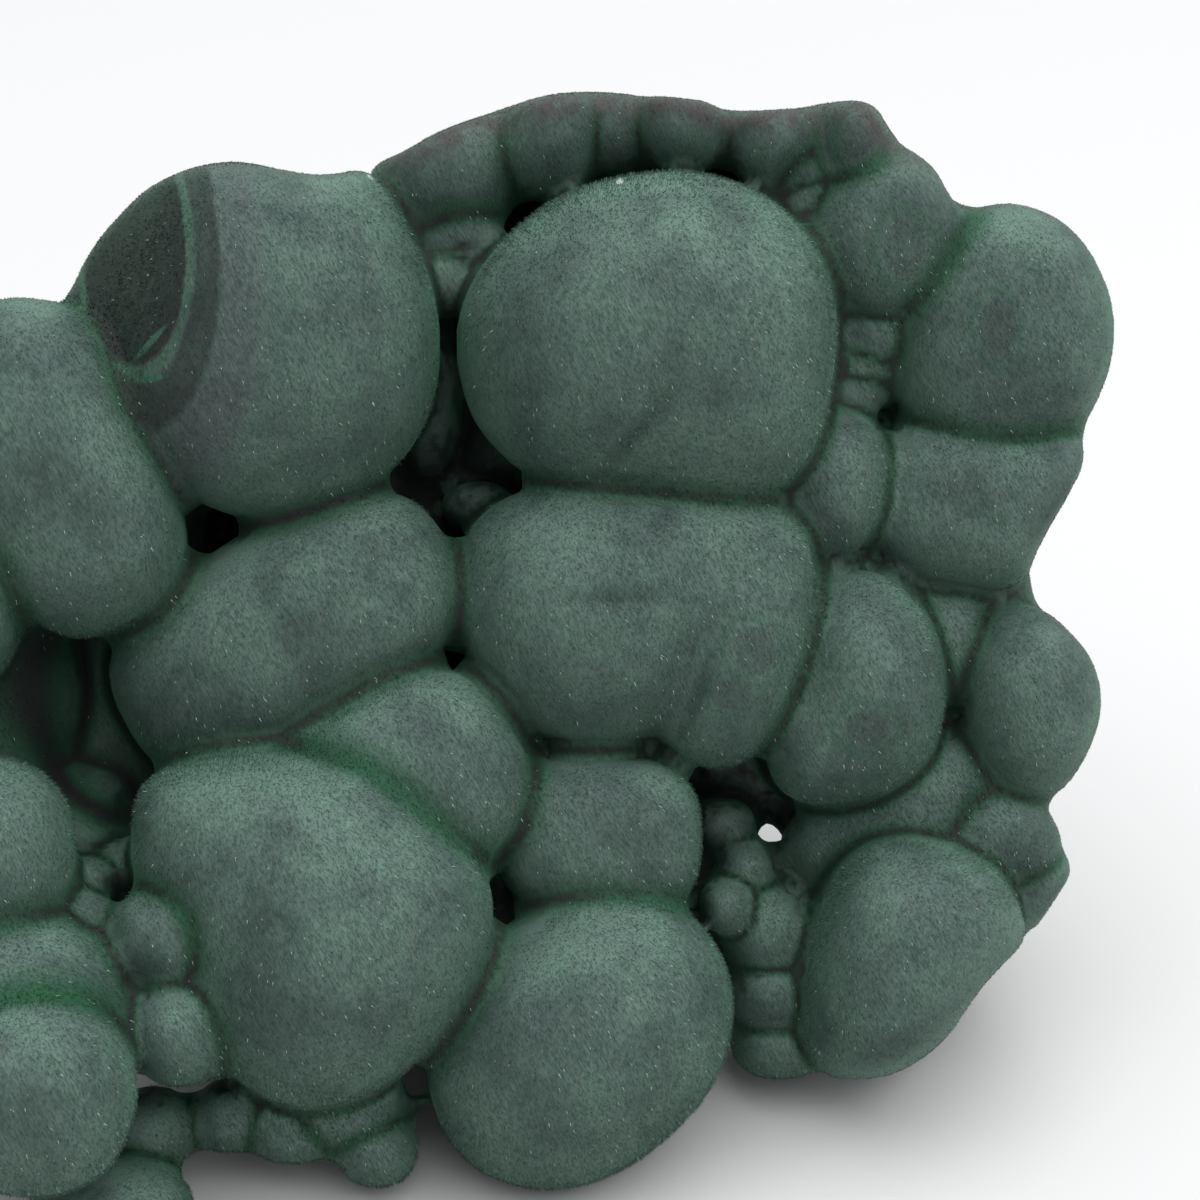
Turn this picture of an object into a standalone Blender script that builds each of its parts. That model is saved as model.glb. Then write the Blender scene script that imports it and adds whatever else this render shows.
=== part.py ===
"""Botryoidal malachite: one leaning slab of grown-together domes, standing on its lower edge.

The stone grew as one piece, so it is one solid. Each dome is a squared-off ellipsoid, the domes are
fused into one skin, the worn rim is trimmed to one smooth edge, and the domes that touch the table
end in small flats.

Lengths in the tables are millimetres, read square to the face of the slab: across runs to the
right, up runs up the face, and out runs towards the eye. The finished mesh is in metres, +Z up,
with its origin under the middle of its box.
"""

import math
from typing import NamedTuple

import bmesh
import bpy
from mathutils import Matrix, Vector

MM = 0.001

# The face is read from in front, a little to the left and from above
FACE_AZIMUTH = math.radians(-18.0)
FACE_ELEVATION = math.radians(25.0)
EYE_DISTANCE = 222.0
FACE_MIDDLE_UP = 38.7

# The table cuts this far into the lowest domes, which gives each of them a flat to stand on
STANDING_CUT = 0.6

# Fineness of the fused skin
SKIN_VOXEL = 0.55
DOME_SUBDIVISIONS = 4
SKIN_TRIANGLES = 9600

# The worn rim's cutter reaches from well in front of the domes to well behind them
RIM_OUT = -7.0
RIM_FRONT = 50.0
RIM_BACK = -60.0
RIM_STEPS = 4


class Dome(NamedTuple):
    """One grown dome: where its middle is, its half sizes, its turn in the face and its fullness."""

    across: float
    up: float
    out: float
    half_width: float
    half_height: float
    half_depth: float
    turn: float = 0.0
    fullness: float = 2.2


# The big domes of the face, from the left end to the right
FACE_DOMES = {
    "crown": Dome(-19.9, 57.1, 1.0, 8.5, 11.7, 11.0, 7.0),
    "crown west": Dome(-24.4, 56.5, 1.0, 9.9, 11.2, 11.0, 44.0, 2.9),
    "west": Dome(-35.3, 47.4, 5.0, 6.5, 11.2, 9.0, 24.0, 2.8),
    "west low": Dome(-39.2, 22.8, 11.0, 5.9, 6.0, 7.5),
    "prow shoulder": Dome(-36.7, 11.7, 13.0, 7.0, 7.4, 8.0),
    "prow": Dome(-34.4, 8.6, 19.0, 6.0, 6.0, 7.0),
    "saddle": Dome(-20.8, 36.5, -1.0, 12.3, 7.2, 9.0, 30.0, 2.7),
    "crescent": Dome(-13.8, 25.8, 2.0, 9.2, 6.9, 8.0, 30.0, 2.8),
    "belly": Dome(-16.2, 15.5, 6.0, 7.6, 10.4, 11.0, -41.0),
    "belly side": Dome(-22.2, 23.4, 4.5, 8.1, 4.9, 9.5, -2.0, 2.8),
    "belly heart": Dome(-19.2, 19.2, 5.0, 8.6, 8.9, 10.8),
    "keel": Dome(-1.4, 9.9, 2.0, 10.8, 8.7, 10.0, 41.0, 2.1),
    "middle": Dome(-0.1, 23.0, -1.0, 6.8, 5.4, 7.0, -2.0, 2.8),
    "breast": Dome(-0.9, 37.7, -2.0, 8.5, 9.1, 10.0, 30.0, 2.1),
    "breast low": Dome(8.9, 35.1, -3.0, 4.7, 7.9, 9.0, -21.0, 2.5),
    "breast high": Dome(2.5, 40.4, -3.0, 11.8, 5.8, 9.5, -1.0, 2.9),
    "great": Dome(3.0, 56.4, -1.0, 12.7, 10.5, 12.0, 17.0, 2.1),
    "great low": Dome(7.6, 54.7, -1.5, 7.8, 9.8, 11.0, -2.0, 2.4),
    "east": Dome(27.4, 57.4, -7.5, 8.0, 8.7, 8.5, -3.0, 2.5),
    "east inner": Dome(15.8, 46.5, -5.2, 3.6, 5.2, 6.0, -9.0),
    "east shelf": Dome(24.6, 45.3, -9.0, 6.6, 5.8, 8.0, -5.0, 2.8),
    "shelf end": Dome(30.9, 46.8, -9.0, 2.6, 3.8, 7.5, -20.0, 2.6),
    "ball left": Dome(18.1, 33.7, -5.0, 5.1, 7.2, 9.0, 13.0, 2.1),
    "ball foot": Dome(15.1, 28.9, -5.5, 3.8, 3.8, 7.5, 9.0, 2.6),
    "ball back": Dome(23.3, 35.9, -10.0, 3.8, 4.3, 6.0),
    "ball right": Dome(29.8, 31.7, -8.0, 5.0, 6.7, 7.0, 5.0),
    "ridge": Dome(20.3, 24.0, -10.0, 8.5, 4.2, 6.5, 30.0, 2.3),
    "ridge end": Dome(27.4, 22.8, -9.7, 4.9, 3.3, 6.0, -10.0),
    "ridge tip": Dome(30.6, 18.7, -10.7, 2.6, 3.3, 4.5, -20.0),
    "corner": Dome(21.1, 15.4, -4.0, 6.6, 7.0, 9.5, -18.0, 2.5),
    "corner foot": Dome(20.9, 11.9, -4.5, 7.7, 4.3, 8.5, 35.0),
}

# The row of smaller domes along the top rim
RIM_DOMES = {
    "rim 1": Dome(-10.5, 67.9, -6.5, 5.1, 5.5, 6.0, -26.0),
    "rim 1 low": Dome(-9.6, 63.6, -5.5, 3.0, 2.0, 4.0),
    "rim 1 foot": Dome(-10.4, 60.3, -5.8, 1.8, 2.3, 4.0),
    "rim 2": Dome(-3.2, 70.6, -5.5, 3.3, 4.8, 6.0, -8.0),
    "rim 2 side": Dome(0.9, 71.1, -7.0, 2.5, 3.5, 5.5),
    "rim 3": Dome(5.8, 71.3, -5.5, 3.4, 3.6, 6.0),
    "rim 4": Dome(11.8, 70.0, -5.5, 3.1, 3.7, 6.0),
    "rim 4 low": Dome(13.4, 67.8, -4.8, 1.7, 1.9, 4.0),
    "rim 4 tip": Dome(14.2, 65.9, -4.8, 1.7, 1.4, 3.5),
    "rim 5": Dome(17.2, 69.8, -4.0, 2.5, 3.4, 6.0),
    "rim 6": Dome(19.4, 63.9, -5.0, 4.9, 6.1, 7.0, -34.0, 2.6),
    "rim web left": Dome(-3.0, 69.5, -14.0, 9.5, 6.0, 4.5, 0.0, 2.8),
    "rim web right": Dome(11.0, 69.0, -14.0, 11.0, 6.0, 4.5, 0.0, 2.8),
}

# Knobs and beads between the big domes
BEADS = {
    "bead high": Dome(-33.2, 20.2, 6.0, 1.6, 1.7, 3.0),
    "bead low": Dome(-33.0, 18.2, 9.0, 1.7, 1.8, 3.0),
    "bead inner": Dome(-31.2, 20.7, 2.0, 1.6, 2.0, 3.5),
    "knuckle high": Dome(-27.6, 17.4, 9.5, 3.4, 3.2, 5.0),
    "knuckle low": Dome(-26.7, 11.3, 9.5, 3.3, 3.4, 6.0),
    "foot bead left": Dome(-29.3, 4.1, 4.0, 2.9, 2.7, 5.0),
    "foot bead right": Dome(-24.3, 4.9, 3.0, 2.5, 2.4, 4.0),
    "front foot": Dome(-31.1, -0.4, 10.0, 5.2, 3.6, 7.0),
    "arch high": Dome(-16.6, 5.6, 2.5, 4.1, 2.7, 5.0),
    "arch web": Dome(-20.3, 4.2, 2.5, 3.2, 2.4, 4.5),
    "arch low": Dome(-14.6, 2.9, 3.0, 2.6, 2.6, 4.0),
    "east bead high": Dome(18.6, 56.6, -5.8, 2.5, 2.0, 4.0),
    "east bead middle": Dome(17.7, 54.5, -6.0, 2.0, 1.7, 3.5),
    "east bead low": Dome(17.5, 52.9, -6.0, 1.8, 1.6, 3.5),
    "stem 1": Dome(8.5, 23.3, -9.0, 2.3, 1.8, 4.0),
    "stem 2": Dome(9.9, 20.4, -8.0, 2.1, 2.0, 4.0),
    "stem 3": Dome(8.4, 17.9, -4.5, 1.8, 1.9, 3.5),
    "stem 4": Dome(11.5, 16.0, -7.0, 2.9, 3.0, 4.5),
    "stem 5": Dome(11.7, 11.7, -7.0, 2.8, 2.4, 4.5),
    "stem 6": Dome(12.4, 8.0, -8.0, 3.3, 2.2, 4.5),
    "gap bead": Dome(-8.4, 45.2, -8.0, 2.5, 1.7, 4.0),
    "gap dome": Dome(-11.9, 52.5, -9.0, 2.5, 5.4, 5.0),
    "west hollow": Dome(-40.3, 31.5, -6.0, 3.4, 4.0, 6.0),
    "west pit": Dome(-34.9, 23.8, -5.0, 3.7, 3.8, 6.0),
    "shade bead": Dome(15.2, 17.6, -12.0, 1.7, 2.4, 3.0),
}

# The left end, past what the face shows
END_DOMES = {
    "west back": Dome(-42.5, 38.7, 8.0, 5.3, 6.3, 8.0),
    "end top": Dome(-43.5, 50.5, 3.0, 6.0, 8.0, 7.5, 15.0),
    "end middle": Dome(-48.5, 33.0, 5.0, 6.0, 7.5, 8.0),
    "end low": Dome(-47.0, 20.0, 9.0, 6.0, 7.0, 8.0),
    "end foot": Dome(-42.5, 8.5, 9.0, 5.5, 5.8, 7.0),
}

# The back, which grew the same way as the face, with feet that prop the slab
BACK_DOMES = {
    "back crown": Dome(-26.0, 59.0, -11.0, 8.5, 7.5, 7.5),
    "back top left": Dome(-13.5, 61.0, -16.0, 7.5, 7.0, 7.0, 10.0),
    "back top middle": Dome(0.0, 63.0, -18.5, 8.0, 7.5, 7.0, -10.0),
    "back top right": Dome(13.0, 60.5, -18.0, 7.5, 7.5, 7.0, 12.0),
    "back east": Dome(25.0, 56.0, -15.5, 7.5, 8.0, 7.0),
    "back shoulder": Dome(-35.0, 46.5, -5.0, 8.0, 9.0, 8.0, 15.0),
    "back upper left": Dome(-20.5, 46.5, -15.0, 9.5, 8.5, 9.0, -12.0),
    "back upper middle": Dome(-4.5, 48.0, -21.0, 9.5, 9.0, 9.0, 20.0),
    "back upper right": Dome(10.5, 46.5, -20.5, 7.5, 8.5, 8.0, -15.0),
    "back shelf": Dome(23.0, 43.5, -17.5, 7.5, 6.5, 7.0),
    "back west": Dome(-42.5, 33.5, -3.0, 7.5, 8.5, 8.0, 10.0),
    "back middle left": Dome(-28.5, 31.5, -13.0, 9.0, 8.0, 9.5, 25.0),
    "back middle": Dome(-12.5, 33.0, -22.5, 9.5, 8.5, 10.0, -10.0),
    "back middle right": Dome(3.0, 33.5, -24.0, 7.5, 7.5, 9.0),
    "back ball left": Dome(16.5, 32.5, -18.5, 6.5, 7.0, 7.5, 10.0),
    "back ball right": Dome(27.0, 31.0, -15.5, 5.5, 6.0, 6.5),
    "back low west": Dome(-38.5, 19.0, -3.5, 8.5, 8.0, 8.5),
    "back foot left": Dome(-26.5, 18.0, -19.0, 8.5, 8.5, 9.0),
    "back foot middle": Dome(-7.0, 22.5, -29.0, 9.5, 8.5, 9.5, 12.0),
    "back foot right": Dome(22.5, 19.5, -26.0, 6.5, 7.0, 8.0),
    "back knob 1": Dome(6.5, 56.0, -24.0, 3.5, 3.2, 3.5),
    "back knob 2": Dome(-12.5, 53.5, -22.0, 3.2, 3.5, 3.5),
    "back knob 3": Dome(17.5, 52.5, -21.5, 3.0, 3.4, 3.5),
    "back knob 4": Dome(-22.0, 38.0, -22.5, 3.4, 3.0, 3.5),
    "back knob 5": Dome(-4.5, 39.5, -29.5, 3.0, 3.3, 3.5),
    "back knob 6": Dome(10.5, 38.0, -26.0, 3.0, 3.0, 3.2),
    "back knob 7": Dome(-33.0, 39.0, -12.5, 3.4, 3.4, 3.5),
    "back knob 8": Dome(-17.0, 25.0, -28.0, 4.0, 3.8, 4.0),
}

# The body that the domes grew from, which closes the ground between them
BODY_DOMES = {
    "body crown": Dome(-16.0, 54.0, -14.0, 19.0, 12.0, 5.5),
    "body east": Dome(13.0, 54.0, -14.0, 18.0, 12.0, 5.5),
    "body west": Dome(-37.0, 33.0, -8.0, 11.0, 18.0, 5.5),
    "body end": Dome(-43.5, 33.0, 0.0, 7.0, 16.0, 6.0),
    "body middle": Dome(-14.0, 34.0, -14.0, 21.0, 12.0, 7.0),
    "body breast": Dome(2.0, 36.5, -14.5, 11.0, 11.0, 6.5),
    "body ball": Dome(21.0, 36.0, -14.5, 11.0, 9.5, 5.5),
    "body belly": Dome(-17.0, 17.0, -9.0, 18.0, 9.0, 10.0),
    "body keel": Dome(-2.0, 18.5, -14.0, 9.5, 9.0, 12.0),
    "body prow": Dome(-38.5, 13.5, 3.5, 6.5, 9.0, 8.5),
    "body corner": Dome(22.5, 19.0, -14.0, 8.0, 9.0, 9.0),
    "body stem": Dome(8.5, 15.5, -12.0, 3.5, 8.0, 4.5),
    "body throat": Dome(10.5, 27.0, -13.5, 5.5, 4.2, 4.0),
}

# The worn rim, as one smooth line round the top and the right of the face
RIM_LINE = (
    (-62.0, 8.0),
    (-62.0, 48.0),
    (-50.0, 60.0),
    (-41.3, 59.8),
    (-37.1, 59.8),
    (-35.5, 62.3),
    (-33.7, 64.8),
    (-30.3, 67.6),
    (-25.4, 68.9),
    (-19.3, 68.0),
    (-14.6, 69.1),
    (-11.0, 71.0),
    (-7.6, 72.2),
    (-2.8, 73.6),
    (2.8, 73.5),
    (6.9, 73.1),
    (8.9, 72.4),
    (13.1, 72.5),
    (16.8, 73.1),
    (18.9, 72.6),
    (20.6, 70.3),
    (22.9, 68.6),
    (24.9, 65.8),
    (28.4, 66.2),
    (31.6, 64.9),
    (34.0, 62.3),
    (35.6, 57.9),
    (35.3, 54.7),
    (33.6, 50.6),
    (33.1, 47.3),
    (30.7, 43.1),
    (29.8, 41.0),
    (30.0, 38.7),
    (31.6, 37.3),
    (33.7, 34.9),
    (34.7, 31.8),
    (33.7, 28.4),
    (32.0, 25.6),
    (30.9, 24.6),
    (32.0, 22.4),
    (32.5, 20.1),
    (31.6, 18.4),
    (29.6, 15.6),
    (26.3, 12.1),
    (23.7, 8.4),
    (20.0, 5.9),
    (14.0, 4.0),
    (10.0, -8.0),
    (-50.0, -14.0),
)


class Facet(NamedTuple):
    """A worn flat on one dome: which way it faces, and how far its plane is from the dome's middle."""

    across: float
    up: float
    out: float
    distance: float


# Worn flats, by dome
FACETS = {
    "crown west": (Facet(-0.72, 0.30, 0.62, 8.7),),
    "corner": (Facet(0.62, -0.52, 0.59, 7.4),),
    "corner foot": (Facet(0.62, -0.52, 0.59, 5.4),),
}

STONE_COLOUR = (0.085, 0.150, 0.118, 1.0)
STONE_ROUGHNESS = 0.85


def clear_scene() -> None:
    """Remove whatever objects the scene holds."""
    for thing in list(bpy.data.objects):
        bpy.data.objects.remove(thing, do_unlink=True)


def face_to_world() -> Matrix:
    """The turn from the face's across, up and out to the world's X, Y and Z."""
    sin_a, cos_a = math.sin(FACE_AZIMUTH), math.cos(FACE_AZIMUTH)
    sin_e, cos_e = math.sin(FACE_ELEVATION), math.cos(FACE_ELEVATION)
    across = Vector((cos_a, sin_a, 0.0))
    up = Vector((-sin_a * sin_e, cos_a * sin_e, cos_e))
    out = Vector((sin_a * cos_e, -cos_a * cos_e, sin_e))
    return Matrix((across, up, out)).transposed().to_4x4()


def add_dome(skin: bmesh.types.BMesh, dome: Dome, facets: tuple) -> None:
    """Add one dome to the skin, squared off by its fullness and worn flat where it has facets."""
    shape = bmesh.new()
    bmesh.ops.create_icosphere(shape, subdivisions=DOME_SUBDIVISIONS, radius=1.0)
    power = 2.0 / dome.fullness
    for vert in shape.verts:
        vert.co = Vector([math.copysign(abs(c) ** power, c) for c in vert.co])
    half = (dome.half_width, dome.half_height, dome.half_depth)
    turn = Matrix.Rotation(math.radians(dome.turn), 4, "Z")
    bmesh.ops.transform(shape, matrix=turn @ Matrix.Diagonal((*half, 1.0)), verts=shape.verts)
    for facet in facets:
        normal = Vector((facet.across, facet.up, facet.out)).normalized()
        cut = bmesh.ops.bisect_plane(
            shape,
            geom=shape.verts[:] + shape.edges[:] + shape.faces[:],
            plane_co=normal * facet.distance,
            plane_no=normal,
            clear_outer=True,
        )
        edges = [item for item in cut["geom_cut"] if isinstance(item, bmesh.types.BMEdge)]
        bmesh.ops.contextual_create(shape, geom=edges)
    place = Matrix.Translation((dome.across, dome.up, dome.out))
    bmesh.ops.transform(shape, matrix=place, verts=shape.verts)
    mesh = bpy.data.meshes.new("dome")
    shape.to_mesh(mesh)
    shape.free()
    skin.from_mesh(mesh)
    bpy.data.meshes.remove(mesh)


def dome_heap() -> bpy.types.Object:
    """All domes in one object, still passing through each other, in face millimetres."""
    heap = bmesh.new()
    for group in (FACE_DOMES, RIM_DOMES, BEADS, END_DOMES, BACK_DOMES, BODY_DOMES):
        for name, dome in group.items():
            add_dome(heap, dome, FACETS.get(name, ()))
    return new_object("malachite", heap)


def new_object(name: str, shape: bmesh.types.BMesh) -> bpy.types.Object:
    """Turn a bmesh into a named object in the scene."""
    mesh = bpy.data.meshes.new(name)
    shape.to_mesh(mesh)
    shape.free()
    thing = bpy.data.objects.new(name, mesh)
    bpy.context.scene.collection.objects.link(thing)
    return thing


def smooth_line(points: tuple, steps: int) -> list:
    """Points of a closed Catmull-Rom curve through the given ones."""
    line = []
    count = len(points)
    for index in range(count):
        before, start, end, after = (Vector(points[(index + k) % count]) for k in (-1, 0, 1, 2))
        for step in range(steps):
            t = step / steps
            line.append(
                0.5
                * (
                    2.0 * start
                    + (end - before) * t
                    + (2.0 * before - 5.0 * start + 4.0 * end - after) * t**2
                    + (3.0 * start - before - 3.0 * end + after) * t**3
                )
            )
    return line


def rim_cutter() -> bpy.types.Object:
    """The tapered block whose sides trim the rim, widening away from the eye."""
    shape = bmesh.new()
    line = smooth_line(RIM_LINE, RIM_STEPS)
    loops = []
    for out in (RIM_FRONT, RIM_BACK):
        scale = (EYE_DISTANCE - out) / (EYE_DISTANCE - RIM_OUT)
        ring = [
            shape.verts.new((p.x * scale, FACE_MIDDLE_UP + (p.y - FACE_MIDDLE_UP) * scale, out))
            for p in line
        ]
        face = shape.faces.new(ring)
        loops += list(face.edges)
    bmesh.ops.bridge_loops(shape, edges=loops)
    bmesh.ops.recalc_face_normals(shape, faces=shape.faces[:])
    cutter = new_object("rim_cutter", shape)
    cutter.hide_render = True
    cutter.display_type = "WIRE"
    return cutter


def add_skin_modifiers(stone: bpy.types.Object, cutter: bpy.types.Object) -> None:
    """Fuse the domes into one skin and trim its rim."""
    fuse = stone.modifiers.new("fuse domes", "REMESH")
    fuse.mode = "VOXEL"
    fuse.voxel_size = SKIN_VOXEL
    trim = stone.modifiers.new("trim rim", "BOOLEAN")
    trim.operation = "INTERSECT"
    trim.solver = "EXACT"
    trim.object = cutter


def baked(thing: bpy.types.Object) -> bpy.types.Mesh:
    """A new mesh with the object's modifiers applied."""
    graph = bpy.context.evaluated_depsgraph_get()
    return bpy.data.meshes.new_from_object(thing.evaluated_get(graph))


def apply_modifiers(thing: bpy.types.Object) -> None:
    """Keep the modified mesh and drop the modifiers."""
    mesh = baked(thing)
    thing.modifiers.clear()
    thing.data = mesh


def keep_largest_shell(thing: bpy.types.Object) -> None:
    """Drop every closed shell but the largest, which fills sealed pockets between the domes."""
    shape = bmesh.new()
    shape.from_mesh(thing.data)
    unseen = set(shape.verts)
    shells = []
    while unseen:
        shell = set()
        edge_of_shell = [unseen.pop()]
        while edge_of_shell:
            vert = edge_of_shell.pop()
            shell.add(vert)
            for edge in vert.link_edges:
                other = edge.other_vert(vert)
                if other in unseen:
                    unseen.remove(other)
                    edge_of_shell.append(other)
        shells.append(shell)
    shells.sort(key=len)
    for shell in shells[:-1]:
        bmesh.ops.delete(shape, geom=list(shell), context="VERTS")
    shape.to_mesh(thing.data)
    shape.free()


def thin_skin(thing: bpy.types.Object, triangles: int) -> None:
    """Bring the skin down to about this many triangles, keeping its creases."""
    thing.data.calc_loop_triangles()
    ratio = triangles / len(thing.data.loop_triangles)
    thin = thing.modifiers.new("thin skin", "DECIMATE")
    thin.ratio = min(1.0, ratio)
    apply_modifiers(thing)


def stand_on_table(thing: bpy.types.Object) -> None:
    """Turn the stone upright, cut the flats it stands on, and centre it over the origin."""
    shape = bmesh.new()
    shape.from_mesh(thing.data)
    bmesh.ops.transform(shape, matrix=face_to_world(), verts=shape.verts)
    cut = bmesh.ops.bisect_plane(
        shape,
        geom=shape.verts[:] + shape.edges[:] + shape.faces[:],
        plane_co=(0.0, 0.0, STANDING_CUT),
        plane_no=(0.0, 0.0, -1.0),
        clear_outer=True,
    )
    edges = [item for item in cut["geom_cut"] if isinstance(item, bmesh.types.BMEdge)]
    bmesh.ops.holes_fill(shape, edges=edges, sides=0)
    bmesh.ops.triangulate(shape, faces=shape.faces[:])
    low = Vector([min(vert.co[axis] for vert in shape.verts) for axis in range(3)])
    high = Vector([max(vert.co[axis] for vert in shape.verts) for axis in range(3)])
    base = Vector(((low.x + high.x) / 2.0, (low.y + high.y) / 2.0, low.z))
    bmesh.ops.translate(shape, vec=-base, verts=shape.verts)
    bmesh.ops.scale(shape, vec=(MM, MM, MM), verts=shape.verts)
    bmesh.ops.recalc_face_normals(shape, faces=shape.faces[:])
    shape.to_mesh(thing.data)
    shape.free()


def stone_material() -> bpy.types.Material:
    """Matt grey-green stone with a velvet of fine fibres."""
    material = bpy.data.materials.new("velvet malachite")
    material.use_nodes = True
    surface = material.node_tree.nodes["Principled BSDF"]
    surface.inputs["Base Color"].default_value = STONE_COLOUR
    surface.inputs["Roughness"].default_value = STONE_ROUGHNESS
    surface.inputs["Metallic"].default_value = 0.0
    return material


def build_malachite() -> None:
    """Build the stone."""
    clear_scene()
    stone = dome_heap()
    cutter = rim_cutter()
    add_skin_modifiers(stone, cutter)
    apply_modifiers(stone)
    bpy.data.objects.remove(cutter)
    keep_largest_shell(stone)
    thin_skin(stone, SKIN_TRIANGLES)
    stand_on_table(stone)
    stone.data.materials.clear()
    stone.data.materials.append(stone_material())
    stone.data.shade_smooth()


build_malachite()
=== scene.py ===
"""Botryoidal malachite: the finished look of one leaning slab of velvet-skinned domes.

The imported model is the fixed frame. The slab's skin is grown again here from the same domes, at a finer
grain, and settled on one smooth field, so that the domes are round and the clefts between them are sharp.
A nap of short fibres grows out of it. Dome places are millimetres read square to the slab's face: across
to the right, up the face, and out towards the eye.
"""

import logging
import math
from collections.abc import Iterator
from contextlib import contextmanager
from dataclasses import dataclass, field
from enum import Enum

import bmesh
import bpy
import numpy as np
from mathutils import Matrix, Vector, noise
from mathutils.bvhtree import BVHTree


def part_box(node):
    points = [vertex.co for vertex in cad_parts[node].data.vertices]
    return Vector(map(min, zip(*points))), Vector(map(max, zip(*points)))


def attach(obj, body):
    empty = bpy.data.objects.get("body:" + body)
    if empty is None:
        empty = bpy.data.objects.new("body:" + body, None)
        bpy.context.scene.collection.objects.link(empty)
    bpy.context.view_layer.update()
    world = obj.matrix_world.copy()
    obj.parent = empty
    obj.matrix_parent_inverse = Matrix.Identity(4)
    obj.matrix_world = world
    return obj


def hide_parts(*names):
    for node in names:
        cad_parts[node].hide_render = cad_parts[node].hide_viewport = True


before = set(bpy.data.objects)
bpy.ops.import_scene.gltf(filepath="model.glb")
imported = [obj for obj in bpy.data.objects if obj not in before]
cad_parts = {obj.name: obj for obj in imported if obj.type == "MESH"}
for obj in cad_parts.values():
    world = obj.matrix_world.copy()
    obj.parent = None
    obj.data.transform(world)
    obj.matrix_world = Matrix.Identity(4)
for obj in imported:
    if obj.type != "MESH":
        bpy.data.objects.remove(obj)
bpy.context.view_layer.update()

NODE = "malachite"
BODY = "root"
MM = 0.001
TINY = 1e-9
LEAST_RISE = 1e-12
LOG = logging.getLogger("malachite")

# The way the fibres lie on the face, across and up: down it and a little to the right
FIBRE_LIE = (0.47, -0.88)
# A way that no dome's surface faces exactly, from which a side way is worked out
ODD_WAY = (0.31, 0.52, 0.79)
# What the finish reads from the skin, and the nap takes over from it
LEVELS = ("cleft", "open_sky", "worn", "stained", "upward")


class Habit(Enum):
    """Where on the slab a dome grows."""

    FACE = "face"
    RIM = "rim"
    BEAD = "bead"
    END = "end"
    BACK = "back"
    BODY = "body"


@dataclass(frozen=True)
class Dome:
    """One grown dome: its middle, its half sizes, its turn in the face and how squared off it is."""

    across: float
    up: float
    out: float
    half_width: float
    half_height: float
    half_depth: float
    turn: float = 0.0
    fullness: float = 2.2


@dataclass(frozen=True)
class Facet:
    """A worn flat on a dome: which way it faces, and how far its plane is from the dome's middle."""

    across: float
    up: float
    out: float
    distance: float


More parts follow.
